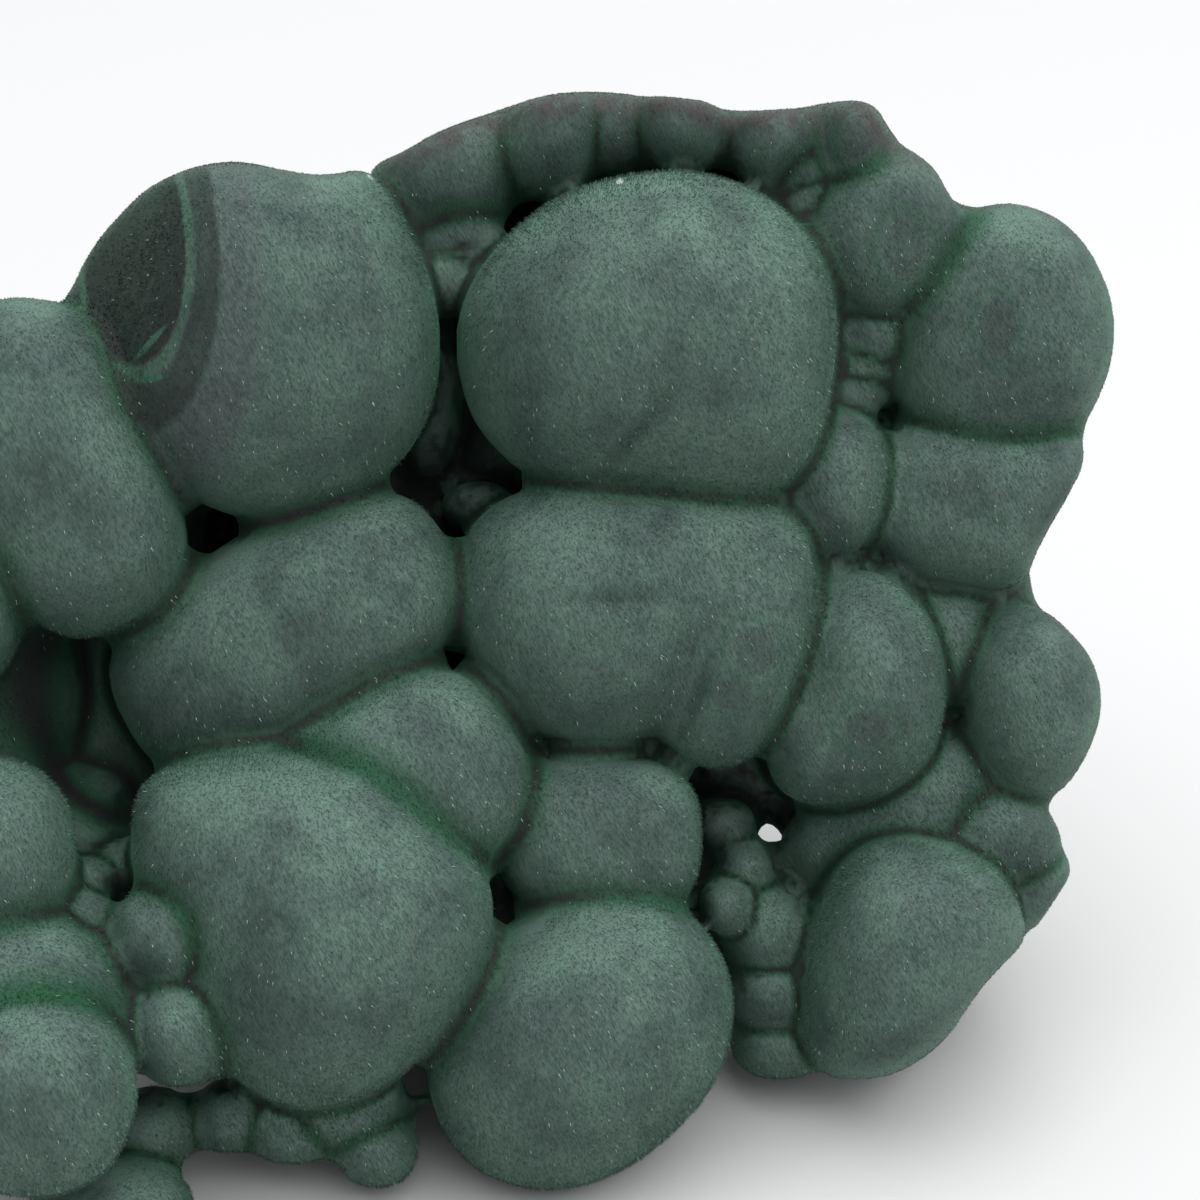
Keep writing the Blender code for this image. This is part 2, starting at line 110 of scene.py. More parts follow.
DOMES = {
    Habit.FACE: {
        "crown": Dome(-19.9, 57.1, 1.0, 8.5, 11.7, 11.0, 7.0),
        "crown west": Dome(-24.4, 56.5, 1.0, 9.9, 11.2, 11.0, 44.0, 2.9),
        "west": Dome(-35.3, 47.4, 5.0, 6.5, 11.2, 9.0, 24.0, 2.8),
        "west low": Dome(-39.2, 22.8, 11.0, 5.9, 6.0, 7.5),
        "prow shoulder": Dome(-36.7, 11.7, 13.0, 7.0, 7.4, 8.0),
        "prow": Dome(-34.4, 8.6, 19.0, 6.0, 6.0, 7.0),
        "saddle": Dome(-20.8, 36.5, -1.0, 12.3, 7.2, 9.0, 30.0, 2.7),
        "crescent": Dome(-13.8, 25.8, 2.0, 9.2, 6.9, 8.0, 30.0, 2.8),
        "belly": Dome(-16.2, 15.5, 6.0, 7.6, 10.4, 11.0, -41.0),
        "belly side": Dome(-22.2, 23.4, 4.5, 8.1, 4.9, 9.5, -2.0, 2.8),
        "belly heart": Dome(-19.2, 19.2, 5.0, 8.6, 8.9, 10.8),
        "keel": Dome(-1.4, 9.9, 2.0, 10.8, 8.7, 10.0, 41.0, 2.1),
        "middle": Dome(-0.1, 23.0, -1.0, 6.8, 5.4, 7.0, -2.0, 2.8),
        "breast": Dome(-0.9, 37.7, -2.0, 8.5, 9.1, 10.0, 30.0, 2.1),
        "breast low": Dome(8.9, 35.1, -3.0, 4.7, 7.9, 9.0, -21.0, 2.5),
        "breast high": Dome(2.5, 40.4, -3.0, 11.8, 5.8, 9.5, -1.0, 2.9),
        "great": Dome(3.0, 56.4, -1.0, 12.7, 10.5, 12.0, 17.0, 2.1),
        "great low": Dome(7.6, 54.7, -1.5, 7.8, 9.8, 11.0, -2.0, 2.4),
        "east": Dome(27.4, 57.4, -7.5, 8.0, 8.7, 8.5, -3.0, 2.5),
        "east inner": Dome(15.8, 46.5, -5.2, 3.6, 5.2, 6.0, -9.0),
        "east shelf": Dome(24.6, 45.3, -9.0, 6.6, 5.8, 8.0, -5.0, 2.8),
        "shelf end": Dome(30.9, 46.8, -9.0, 2.6, 3.8, 7.5, -20.0, 2.6),
        "ball left": Dome(18.1, 33.7, -5.0, 5.1, 7.2, 9.0, 13.0, 2.1),
        "ball foot": Dome(15.1, 28.9, -5.5, 3.8, 3.8, 7.5, 9.0, 2.6),
        "ball back": Dome(23.3, 35.9, -10.0, 3.8, 4.3, 6.0),
        "ball right": Dome(29.8, 31.7, -8.0, 5.0, 6.7, 7.0, 5.0),
        "ridge": Dome(20.3, 24.0, -10.0, 8.5, 4.2, 6.5, 30.0, 2.3),
        "ridge end": Dome(27.4, 22.8, -9.7, 4.9, 3.3, 6.0, -10.0),
        "ridge tip": Dome(30.6, 18.7, -10.7, 2.6, 3.3, 4.5, -20.0),
        "corner": Dome(21.1, 15.4, -4.0, 6.6, 7.0, 9.5, -18.0, 2.5),
        "corner foot": Dome(20.9, 11.9, -4.5, 7.7, 4.3, 8.5, 35.0),
    },
    Habit.RIM: {
        "rim 1": Dome(-10.5, 67.9, -6.5, 5.1, 5.5, 6.0, -26.0),
        "rim 1 low": Dome(-9.6, 63.6, -5.5, 3.0, 2.0, 4.0),
        "rim 1 foot": Dome(-10.4, 60.3, -5.8, 1.8, 2.3, 4.0),
        "rim 2": Dome(-3.2, 70.6, -5.5, 3.3, 4.8, 6.0, -8.0),
        "rim 2 side": Dome(0.9, 71.1, -7.0, 2.5, 3.5, 5.5),
        "rim 3": Dome(5.8, 71.3, -5.5, 3.4, 3.6, 6.0),
        "rim 4": Dome(11.8, 70.0, -5.5, 3.1, 3.7, 6.0),
        "rim 4 low": Dome(13.4, 67.8, -4.8, 1.7, 1.9, 4.0),
        "rim 4 tip": Dome(14.2, 65.9, -4.8, 1.7, 1.4, 3.5),
        "rim 5": Dome(17.2, 69.8, -4.0, 2.5, 3.4, 6.0),
        "rim 6": Dome(19.4, 63.9, -5.0, 4.9, 6.1, 7.0, -34.0, 2.6),
        "rim web left": Dome(-3.0, 69.5, -14.0, 9.5, 6.0, 4.5, 0.0, 2.8),
        "rim web right": Dome(11.0, 69.0, -14.0, 11.0, 6.0, 4.5, 0.0, 2.8),
    },
    Habit.BEAD: {
        "bead high": Dome(-33.2, 20.2, 6.0, 1.6, 1.7, 3.0),
        "bead low": Dome(-33.0, 18.2, 9.0, 1.7, 1.8, 3.0),
        "bead inner": Dome(-31.2, 20.7, 2.0, 1.6, 2.0, 3.5),
        "knuckle high": Dome(-27.6, 17.4, 9.5, 3.4, 3.2, 5.0),
        "knuckle low": Dome(-26.7, 11.3, 9.5, 3.3, 3.4, 6.0),
        "foot bead left": Dome(-29.3, 4.1, 4.0, 2.9, 2.7, 5.0),
        "foot bead right": Dome(-24.3, 4.9, 3.0, 2.5, 2.4, 4.0),
        "front foot": Dome(-31.1, -0.4, 10.0, 5.2, 3.6, 7.0),
        "arch high": Dome(-16.6, 5.6, 2.5, 4.1, 2.7, 5.0),
        "arch web": Dome(-20.3, 4.2, 2.5, 3.2, 2.4, 4.5),
        "arch low": Dome(-14.6, 2.9, 3.0, 2.6, 2.6, 4.0),
        "east bead high": Dome(18.6, 56.6, -5.8, 2.5, 2.0, 4.0),
        "east bead middle": Dome(17.7, 54.5, -6.0, 2.0, 1.7, 3.5),
        "east bead low": Dome(17.5, 52.9, -6.0, 1.8, 1.6, 3.5),
        "stem 1": Dome(8.5, 23.3, -9.0, 2.3, 1.8, 4.0),
        "stem 2": Dome(9.9, 20.4, -8.0, 2.1, 2.0, 4.0),
        "stem 3": Dome(8.4, 17.9, -4.5, 1.8, 1.9, 3.5),
        "stem 4": Dome(11.5, 16.0, -7.0, 2.9, 3.0, 4.5),
        "stem 5": Dome(11.7, 11.7, -7.0, 2.8, 2.4, 4.5),
        "stem 6": Dome(12.4, 8.0, -8.0, 3.3, 2.2, 4.5),
        "gap bead": Dome(-8.4, 45.2, -8.0, 2.5, 1.7, 4.0),
        "gap dome": Dome(-11.9, 52.5, -9.0, 2.5, 5.4, 5.0),
        "west hollow": Dome(-40.3, 31.5, -6.0, 3.4, 4.0, 6.0),
        "west pit": Dome(-34.9, 23.8, -5.0, 3.7, 3.8, 6.0),
        "shade bead": Dome(15.2, 17.6, -12.0, 1.7, 2.4, 3.0),
    },
    Habit.END: {
        "west back": Dome(-42.5, 38.7, 8.0, 5.3, 6.3, 8.0),
        "end top": Dome(-43.5, 50.5, 3.0, 6.0, 8.0, 7.5, 15.0),
        "end middle": Dome(-48.5, 33.0, 5.0, 6.0, 7.5, 8.0),
        "end low": Dome(-47.0, 20.0, 9.0, 6.0, 7.0, 8.0),
        "end foot": Dome(-42.5, 8.5, 9.0, 5.5, 5.8, 7.0),
    },
    Habit.BACK: {
        "back crown": Dome(-26.0, 59.0, -11.0, 8.5, 7.5, 7.5),
        "back top left": Dome(-13.5, 61.0, -16.0, 7.5, 7.0, 7.0, 10.0),
        "back top middle": Dome(0.0, 63.0, -18.5, 8.0, 7.5, 7.0, -10.0),
        "back top right": Dome(13.0, 60.5, -18.0, 7.5, 7.5, 7.0, 12.0),
        "back east": Dome(25.0, 56.0, -15.5, 7.5, 8.0, 7.0),
        "back shoulder": Dome(-35.0, 46.5, -5.0, 8.0, 9.0, 8.0, 15.0),
        "back upper left": Dome(-20.5, 46.5, -15.0, 9.5, 8.5, 9.0, -12.0),
        "back upper middle": Dome(-4.5, 48.0, -21.0, 9.5, 9.0, 9.0, 20.0),
        "back upper right": Dome(10.5, 46.5, -20.5, 7.5, 8.5, 8.0, -15.0),
        "back shelf": Dome(23.0, 43.5, -17.5, 7.5, 6.5, 7.0),
        "back west": Dome(-42.5, 33.5, -3.0, 7.5, 8.5, 8.0, 10.0),
        "back middle left": Dome(-28.5, 31.5, -13.0, 9.0, 8.0, 9.5, 25.0),
        "back middle": Dome(-12.5, 33.0, -22.5, 9.5, 8.5, 10.0, -10.0),
        "back middle right": Dome(3.0, 33.5, -24.0, 7.5, 7.5, 9.0),
        "back ball left": Dome(16.5, 32.5, -18.5, 6.5, 7.0, 7.5, 10.0),
        "back ball right": Dome(27.0, 31.0, -15.5, 5.5, 6.0, 6.5),
        "back low west": Dome(-38.5, 19.0, -3.5, 8.5, 8.0, 8.5),
        "back foot left": Dome(-26.5, 18.0, -19.0, 8.5, 8.5, 9.0),
        "back foot middle": Dome(-7.0, 22.5, -29.0, 9.5, 8.5, 9.5, 12.0),
        "back foot right": Dome(22.5, 19.5, -26.0, 6.5, 7.0, 8.0),
        "back knob 1": Dome(6.5, 56.0, -24.0, 3.5, 3.2, 3.5),
        "back knob 2": Dome(-12.5, 53.5, -22.0, 3.2, 3.5, 3.5),
        "back knob 3": Dome(17.5, 52.5, -21.5, 3.0, 3.4, 3.5),
        "back knob 4": Dome(-22.0, 38.0, -22.5, 3.4, 3.0, 3.5),
        "back knob 5": Dome(-4.5, 39.5, -29.5, 3.0, 3.3, 3.5),
        "back knob 6": Dome(10.5, 38.0, -26.0, 3.0, 3.0, 3.2),
        "back knob 7": Dome(-33.0, 39.0, -12.5, 3.4, 3.4, 3.5),
        "back knob 8": Dome(-17.0, 25.0, -28.0, 4.0, 3.8, 4.0),
    },
    Habit.BODY: {
        "body crown": Dome(-16.0, 54.0, -14.0, 19.0, 12.0, 5.5),
        "body east": Dome(13.0, 54.0, -14.0, 18.0, 12.0, 5.5),
        "body west": Dome(-37.0, 33.0, -8.0, 11.0, 18.0, 5.5),
        "body end": Dome(-43.5, 33.0, 0.0, 7.0, 16.0, 6.0),
        "body middle": Dome(-14.0, 34.0, -14.0, 21.0, 12.0, 7.0),
        "body breast": Dome(2.0, 36.5, -14.5, 11.0, 11.0, 6.5),
        "body ball": Dome(21.0, 36.0, -14.5, 11.0, 9.5, 5.5),
        "body belly": Dome(-17.0, 17.0, -9.0, 18.0, 9.0, 10.0),
        "body keel": Dome(-2.0, 18.5, -14.0, 9.5, 9.0, 12.0),
        "body prow": Dome(-38.5, 13.5, 3.5, 6.5, 9.0, 8.5),
        "body corner": Dome(22.5, 19.0, -14.0, 8.0, 9.0, 9.0),
        "body stem": Dome(8.5, 15.5, -12.0, 3.5, 8.0, 4.5),
        "body throat": Dome(10.5, 27.0, -13.5, 5.5, 4.2, 4.0),
    },
}

# Domes that run into each other as one swelling, and how wide the join is
SOFT_FAMILIES = (
    (1.2, ("great", "great low")),
    (1.1, ("breast", "breast low", "breast high")),
    (5.0, ("crown", "crown west")),
    (4.0, ("belly", "belly side", "belly heart")),
    (4.0, ("corner", "corner foot")),
    (4.0, ("ball left", "ball foot")),
    (3.0, ("east shelf", "shelf end")),
)

FACETS = {
    "crown west": (Facet(-0.72, 0.30, 0.62, 8.7),),
    "corner": (Facet(0.62, -0.52, 0.59, 7.4),),
    "corner foot": (Facet(0.62, -0.52, 0.59, 5.4),),
}

RIM_LINE = (
    (-62.0, 8.0), (-62.0, 48.0), (-50.0, 60.0), (-41.3, 59.8), (-37.1, 59.8), (-35.5, 62.3),
    (-33.7, 64.8), (-30.3, 67.6), (-25.4, 68.9), (-19.3, 68.0), (-14.6, 69.1), (-11.0, 71.0),
    (-7.6, 72.2), (-2.8, 73.6), (2.8, 73.5), (6.9, 73.1), (8.9, 72.4), (13.1, 72.5),
    (16.8, 73.1), (18.9, 72.6), (20.6, 70.3), (22.9, 68.6), (24.9, 65.8), (28.4, 66.2),
    (31.6, 64.9), (34.0, 62.3), (35.6, 57.9), (35.3, 54.7), (33.6, 50.6), (33.1, 47.3),
    (30.7, 43.1), (29.8, 41.0), (30.0, 38.7), (31.6, 37.3), (33.7, 34.9), (34.7, 31.8),
    (33.7, 28.4), (32.0, 25.6), (30.9, 24.6), (32.0, 22.4), (32.5, 20.1), (31.6, 18.4),
    (29.6, 15.6), (26.3, 12.1), (23.7, 8.4), (20.0, 5.9), (14.0, 4.0), (10.0, -8.0),
    (-50.0, -14.0),
)


@dataclass(frozen=True)
class FaceView:
    """How the slab's face is read: where the eye is, and the turn from the face to the world."""

    azimuth: float = math.radians(-18.0)
    elevation: float = math.radians(25.0)
    eye_distance: float = 222.0
    middle_up: float = 38.7

    def to_world(self) -> Matrix:
        """Work out the turn from the face's ways to the world's.

        Returns:
            The turn from across, up and out to X, Y and Z.
        """
        sin_a, cos_a = math.sin(self.azimuth), math.cos(self.azimuth)
        sin_e, cos_e = math.sin(self.elevation), math.cos(self.elevation)
        across = Vector((cos_a, sin_a, 0.0))
        up = Vector((-sin_a * sin_e, cos_a * sin_e, cos_e))
        out = Vector((sin_a * cos_e, -cos_a * cos_e, sin_e))
        return Matrix((across, up, out)).transposed().to_4x4()


def hex_colour(code: str) -> tuple[float, float, float, float]:
    """Turn an sRGB hex colour into a linear colour with full alpha.

    Args:
        code: The colour as six hex digits.

    Returns:
        Linear red, green, blue and alpha.
    """
    parts = [int(code[i:i + 2], 16) / 255.0 for i in (0, 2, 4)]
    linear = [c / 12.92 if c <= 0.04045 else ((c + 0.055) / 1.055) ** 2.4 for c in parts]
    return (*linear, 1.0)


def add_node(tree: bpy.types.NodeTree, kind: str, settings: dict | None = None, links: dict | None = None):
    """Add a node, set its properties and sockets, and link its inputs.

    Args:
        tree: The node tree.
        kind: The node's type name.
        settings: Property names, or socket names or numbers, with their values.
        links: Socket names or numbers with the output sockets that feed them.

    Returns:
        The new node.
    """
    node = tree.nodes.new(kind)
    for key, value in (settings or {}).items():
        if isinstance(key, str) and hasattr(node, key):
            setattr(node, key, value)
        else:
            node.inputs[key].default_value = value
    for key, source in (links or {}).items():
        tree.links.new(source, node.inputs[key])
    return node


def set_ramp(node: bpy.types.Node, stops: tuple) -> None:
    """Give a colour ramp its stops.

    Args:
        node: The colour ramp node.
        stops: Pairs of place and colour.
    """
    elements = node.color_ramp.elements
    while len(elements) < len(stops):
        elements.new(0.5)
    for element, (place, colour) in zip(elements, stops):
        element.position = place
        element.color = colour


def new_object(name: str, shape: bmesh.types.BMesh) -> bpy.types.Object:
    """Turn a bmesh into a named object in the scene.

    Args:
        name: The object's name.
        shape: The bmesh, which is freed.

    Returns:
        The new object.
    """
    mesh = bpy.data.meshes.new(name)
    shape.to_mesh(mesh)
    shape.free()
    thing = bpy.data.objects.new(name, mesh)
    bpy.context.scene.collection.objects.link(thing)
    return thing


def apply_modifiers(thing: bpy.types.Object) -> None:
    """Keep the object's modified mesh and drop its modifiers.

    Args:
        thing: The object.
    """
    graph = bpy.context.evaluated_depsgraph_get()
    mesh = bpy.data.meshes.new_from_object(thing.evaluated_get(graph))
    thing.modifiers.clear()
    thing.data = mesh


@contextmanager
def edited(thing: bpy.types.Object) -> Iterator[bmesh.types.BMesh]:
    """Lend an object's mesh as a bmesh, and write it back afterwards.

    Args:
        thing: The object.

    Yields:
        The bmesh.
    """
    shape = bmesh.new()
    shape.from_mesh(thing.data)
    shape.verts.ensure_lookup_table()
    yield shape
    shape.to_mesh(thing.data)
    shape.free()


def slice_off(shape: bmesh.types.BMesh, point: Vector, way: Vector) -> list:
    """Cut a bmesh along a plane and drop what is past it.

    Args:
        shape: The bmesh.
        point: A point of the plane.
        way: The way that the plane faces.

    Returns:
        The edges round the cut.
    """
    everything = shape.verts[:] + shape.edges[:] + shape.faces[:]
    cut = bmesh.ops.bisect_plane(shape, geom=everything, plane_co=point, plane_no=way, clear_outer=True)
    return [item for item in cut["geom_cut"] if isinstance(item, bmesh.types.BMEdge)]


def mesh_rows(items: bpy.types.bpy_prop_collection, key: str, kind: type = np.float32) -> np.ndarray:
    """Read three values of every item of a mesh.

    Args:
        items: The mesh's vertices or triangles.
        key: What to read of each.
        kind: The values' type.

    Returns:
        The values, one row an item.
    """
    flat = np.empty(len(items) * 3, kind)
    items.foreach_get(key, flat)
    return flat.reshape(-1, 3)


def mesh_points(mesh: bpy.types.Mesh) -> np.ndarray:
    """The places of a mesh's vertices, one row each."""
    return mesh_rows(mesh.vertices, "co").astype(float)


def store_level(mesh: bpy.types.Mesh, name: str, values: np.ndarray) -> None:
    """Keep one value a vertex on a mesh, for its finish to read."""
    attribute = mesh.attributes.new(name, "FLOAT", "POINT")
    attribute.data.foreach_set("value", values.astype(np.float32))


def set_points(mesh: bpy.types.Mesh, points: np.ndarray) -> None:
    """Put a mesh's vertices at these places."""
    mesh.vertices.foreach_set("co", points.astype(np.float32).ravel())
    mesh.update()


def soft_least(a: np.ndarray, b: np.ndarray, width: float) -> tuple[np.ndarray, np.ndarray]:
    """The smaller of two fields, rounded where they meet.

    Args:
        a: The first field.
        b: The second field.
        width: How wide the rounding is.

    Returns:
        The joined field, and the share of it that is the first field's.
    """
    share = np.clip(0.5 + 0.5 * (b - a) / width, 0.0, 1.0)
    return b + (a - b) * share - width * share * (1.0 - share), share


@dataclass
class DomeField:
    """The distance from the stone's grown surface, as one smooth field over the face's millimetres."""

    view: FaceView
    cleft_width: float = 0.6
    facet_width: float = 1.6
    rim_width: float = 0.9
    rim_out: float = -7.0
    worn_width: float = 3.0
    rim_steps: int = 4
    reach: float = 3.0
    bulge: float = 1.3
    far: float = 1000.0
    face_crowding: float = 0.15
    crowding: float = 0.1
    stained_dome: str = "crown"
    cleft_share: float = 0.5
    cleft_least: float = 1.1
    cleft_most: float = 3.0
    rim: np.ndarray = field(init=False)

    def __post_init__(self) -> None:
        """Work out the rim's smooth line."""
        self.rim = self.smooth_line()

    def smooth_line(self) -> np.ndarray:
        """Draw a closed Catmull-Rom curve through the rim's own points.

        Returns:
            The curve's points, across and up, one row each.
        """
        points = np.array(RIM_LINE)
        line = []
        for index in range(len(points)):
            before, start, end, after = (points[(index + k) % len(points)] for k in (-1, 0, 1, 2))
            for step in range(self.rim_steps):
                t = step / self.rim_steps
                line.append(
                    0.5
                    * (
                        2.0 * start
                        + (end - before) * t
                        + (2.0 * before - 5.0 * start + 4.0 * end - after) * t**2
                        + (3.0 * start - before - 3.0 * end + after) * t**3
                    )
                )
        return np.array(line)

    def half_sizes(self, dome: Dome) -> tuple[float, float, float]:
        """A dome's half sizes, pressed a little into its neighbours."""
        more = self.face_crowding if dome in DOMES[Habit.FACE].values() else self.crowding
        return dome.half_width + more, dome.half_height + more, dome.half_depth

    def dome_distance(self, name: str, dome: Dome, points: np.ndarray) -> tuple[np.ndarray, np.ndarray]:
        """Distance from one dome, and the way out of it.

        Args:
            name: The dome's name.
            dome: The dome.
            points: Places, one row each.

        Returns:
            The signed distance and the outward direction at each place.
        """
        turn = math.radians(dome.turn)
        axes = np.array(
            ((math.cos(turn), math.sin(turn), 0.0), (-math.sin(turn), math.cos(turn), 0.0), (0.0, 0.0, 1.0))
        )
        half = np.array(self.half_sizes(dome))
        offset = points - np.array((dome.across, dome.up, dome.out))
        local = offset @ axes.T / half
        size = np.abs(local) + TINY
        power = dome.fullness
        level = (size**power).sum(axis=1) ** (1.0 / power)
        slope = (size / level[:, None]) ** (power - 1.0) * np.sign(local) / half
        steep = np.linalg.norm(slope, axis=1) + LEAST_RISE
        away = (slope / steep[:, None]) @ axes
        distance = (level - 1.0) / steep
        for facet in FACETS.get(name, ()):
            normal = np.array((facet.across, facet.up, facet.out))
            normal /= np.linalg.norm(normal)
            plane = offset @ normal - facet.distance
            joined, share = soft_least(-distance, -plane, self.facet_width)
            distance = -joined
            away = away * share[:, None] + normal * (1.0 - share[:, None])
        return distance, away

    def domes_at(self, points: np.ndarray) -> tuple[np.ndarray, ...]:
        """The joined field of all domes.

        Args:
            points: Places, one row each.

        Returns:
            The distance, the outward direction, how much nearer the nearest dome is than the next, whether
            the nearest is the stained one, and how far its clefts reach.
        """
        family_of = {name: names[0] for _, names in SOFT_FAMILIES for name in names}
        softness = {names[0]: width for width, names in SOFT_FAMILIES}
        families: dict = {}
        for group in DOMES.values():
            for name, dome in group.items():
                families.setdefault(family_of.get(name, name), []).append((name, dome))
        total = np.full(len(points), self.far)
        way = np.zeros_like(points)
        first = np.full(len(points), self.far)
        second = np.full(len(points), self.far)
        stained = np.zeros(len(points), bool)
        reach = np.full(len(points), self.cleft_most)
        for head, members in families.items():
            soft = softness.get(head, self.cleft_width)
            distance = np.full(len(points), self.far)
            away = np.zeros_like(points)
            for name, dome in members:
                middle = np.array((dome.across, dome.up, dome.out))
                size = self.bulge * max(dome.half_width, dome.half_height, dome.half_depth) + self.reach
                near = np.flatnonzero(((points - middle) ** 2).sum(axis=1) < size * size)
                if not len(near):
                    continue
                own, out = self.dome_distance(name, dome, points[near])
                joined, share = soft_least(own, distance[near], soft)
                distance[near] = joined
                away[near] = out * share[:, None] + away[near] * (1.0 - share[:, None])
            second = np.minimum(second, np.maximum(first, distance))
            small = min(min(dome.half_width, dome.half_height) for _, dome in members)
            own_reach = min(max(self.cleft_share * small, self.cleft_least), self.cleft_most)
            stained = np.where(distance < first, head == self.stained_dome, stained)
            reach = np.where(distance < first, own_reach, reach)
            first = np.minimum(first, distance)
            total, share = soft_least(distance, total, self.cleft_width)
            way = away * share[:, None] + way * (1.0 - share[:, None])
        return total, way, second - first, stained, reach

    def rim_at(self, points: np.ndarray) -> tuple[np.ndarray, np.ndarray]:
        """Distance outside the worn rim's edge, and the way out across it.

        Args:
            points: Places, one row each.

        Returns:
            The signed distance, below zero inside, and the outward direction.
        """
        scale = (self.view.eye_distance - points[:, 2]) / (self.view.eye_distance - self.rim_out)
        middle = self.view.middle_up
        flat = np.stack((points[:, 0] / scale, middle + (points[:, 1] - middle) / scale), axis=1)
        start, end = self.rim, np.roll(self.rim, -1, axis=0)
        best = np.full(len(points), self.far)
        nearest = np.zeros((len(points), 2))
        crossings = np.zeros(len(points), int)
        for a, b in zip(start, end):
            span = b - a
            t = np.clip(((flat - a) @ span) / (span @ span), 0.0, 1.0)
            gap = flat - (a + t[:, None] * span)
            distance = np.hypot(gap[:, 0], gap[:, 1])
            closer = distance < best
            best[closer] = distance[closer]
            nearest[closer] = gap[closer]
            spans = (a[1] > flat[:, 1]) != (b[1] > flat[:, 1])
            rise = b[1] - a[1] if abs(b[1] - a[1]) > LEAST_RISE else LEAST_RISE
            crossings += spans & (flat[:, 0] < a[0] + (flat[:, 1] - a[1]) * span[0] / rise)
        sign = np.where(crossings % 2 == 1, -1.0, 1.0)
        away = nearest * (sign / np.maximum(best, TINY))[:, None]
        return best * sign, np.concatenate((away, np.zeros((len(points), 1))), axis=1)

    def at(self, points: np.ndarray) -> tuple[np.ndarray, ...]:
        """The whole stone's field.

        Args:
            points: Places, one row each.

        Returns:
            The distance, the outward direction, the dome gap, how worn each place is by the rim, whether
            it is on the stained dome, and how far the clefts reach there.
        """
        domes, way, gap, stained, reach = self.domes_at(points)
        rim, rim_way = self.rim_at(points)
        joined, share = soft_least(-domes, -rim, self.rim_width)
        away = way * share[:, None] + rim_way * (1.0 - share[:, None])
        away /= np.linalg.norm(away, axis=1)[:, None] + TINY
        worn = np.clip(1.0 + rim / self.worn_width, 0.0, 1.0)
        return -joined, away, gap, worn, stained, reach


@dataclass(frozen=True)
class Mark:
    """A mark on the face: its middle, its half sizes, its turn, and its depth where that is limited."""

    across: float
    up: float
    half_width: float
    half_height: float
    turn: float = 0.0
    out: float = 0.0
    half_depth: float = 0.0


SPOTS = (
    Mark(26.4, 56.8, 1.2, 2.0, 6.0),
    Mark(20.2, 62.0, 1.5, 2.0),
    Mark(17.5, 30.3, 1.6, 1.3),
    Mark(10.0, 35.4, 1.5, 1.7, 20.0),
    Mark(8.6, 32.6, 1.3, 1.1),
    Mark(17.1, 69.2, 1.1, 1.4),
)

STAIN = Mark(-30.2, 61.4, 4.1, 8.0, 8.0)

# Shallow grooves: sunk into the skin, and darkened with painted shade along them
GROOVES = (
    Mark(1.0, 38.8, 5.6, 1.0),
    Mark(2.6, 49.6, 7.0, 0.9, 47.0),
    Mark(6.1, 32.1, 5.0, 0.8, 70.0),
)

FLECKS = (
    Mark(1.3, 66.2, 0.26, 0.36, 0.0, 2.9, 1.6),
    Mark(-15.1, 66.3, 0.2, 0.42, 10.0, 3.1, 0.9),
)

STREAKS = (
    Mark(-28.5, 55.0, 1.7, 0.26, 43.0),
    Mark(-28.4, 52.7, 1.35, 0.22, 6.0),
)


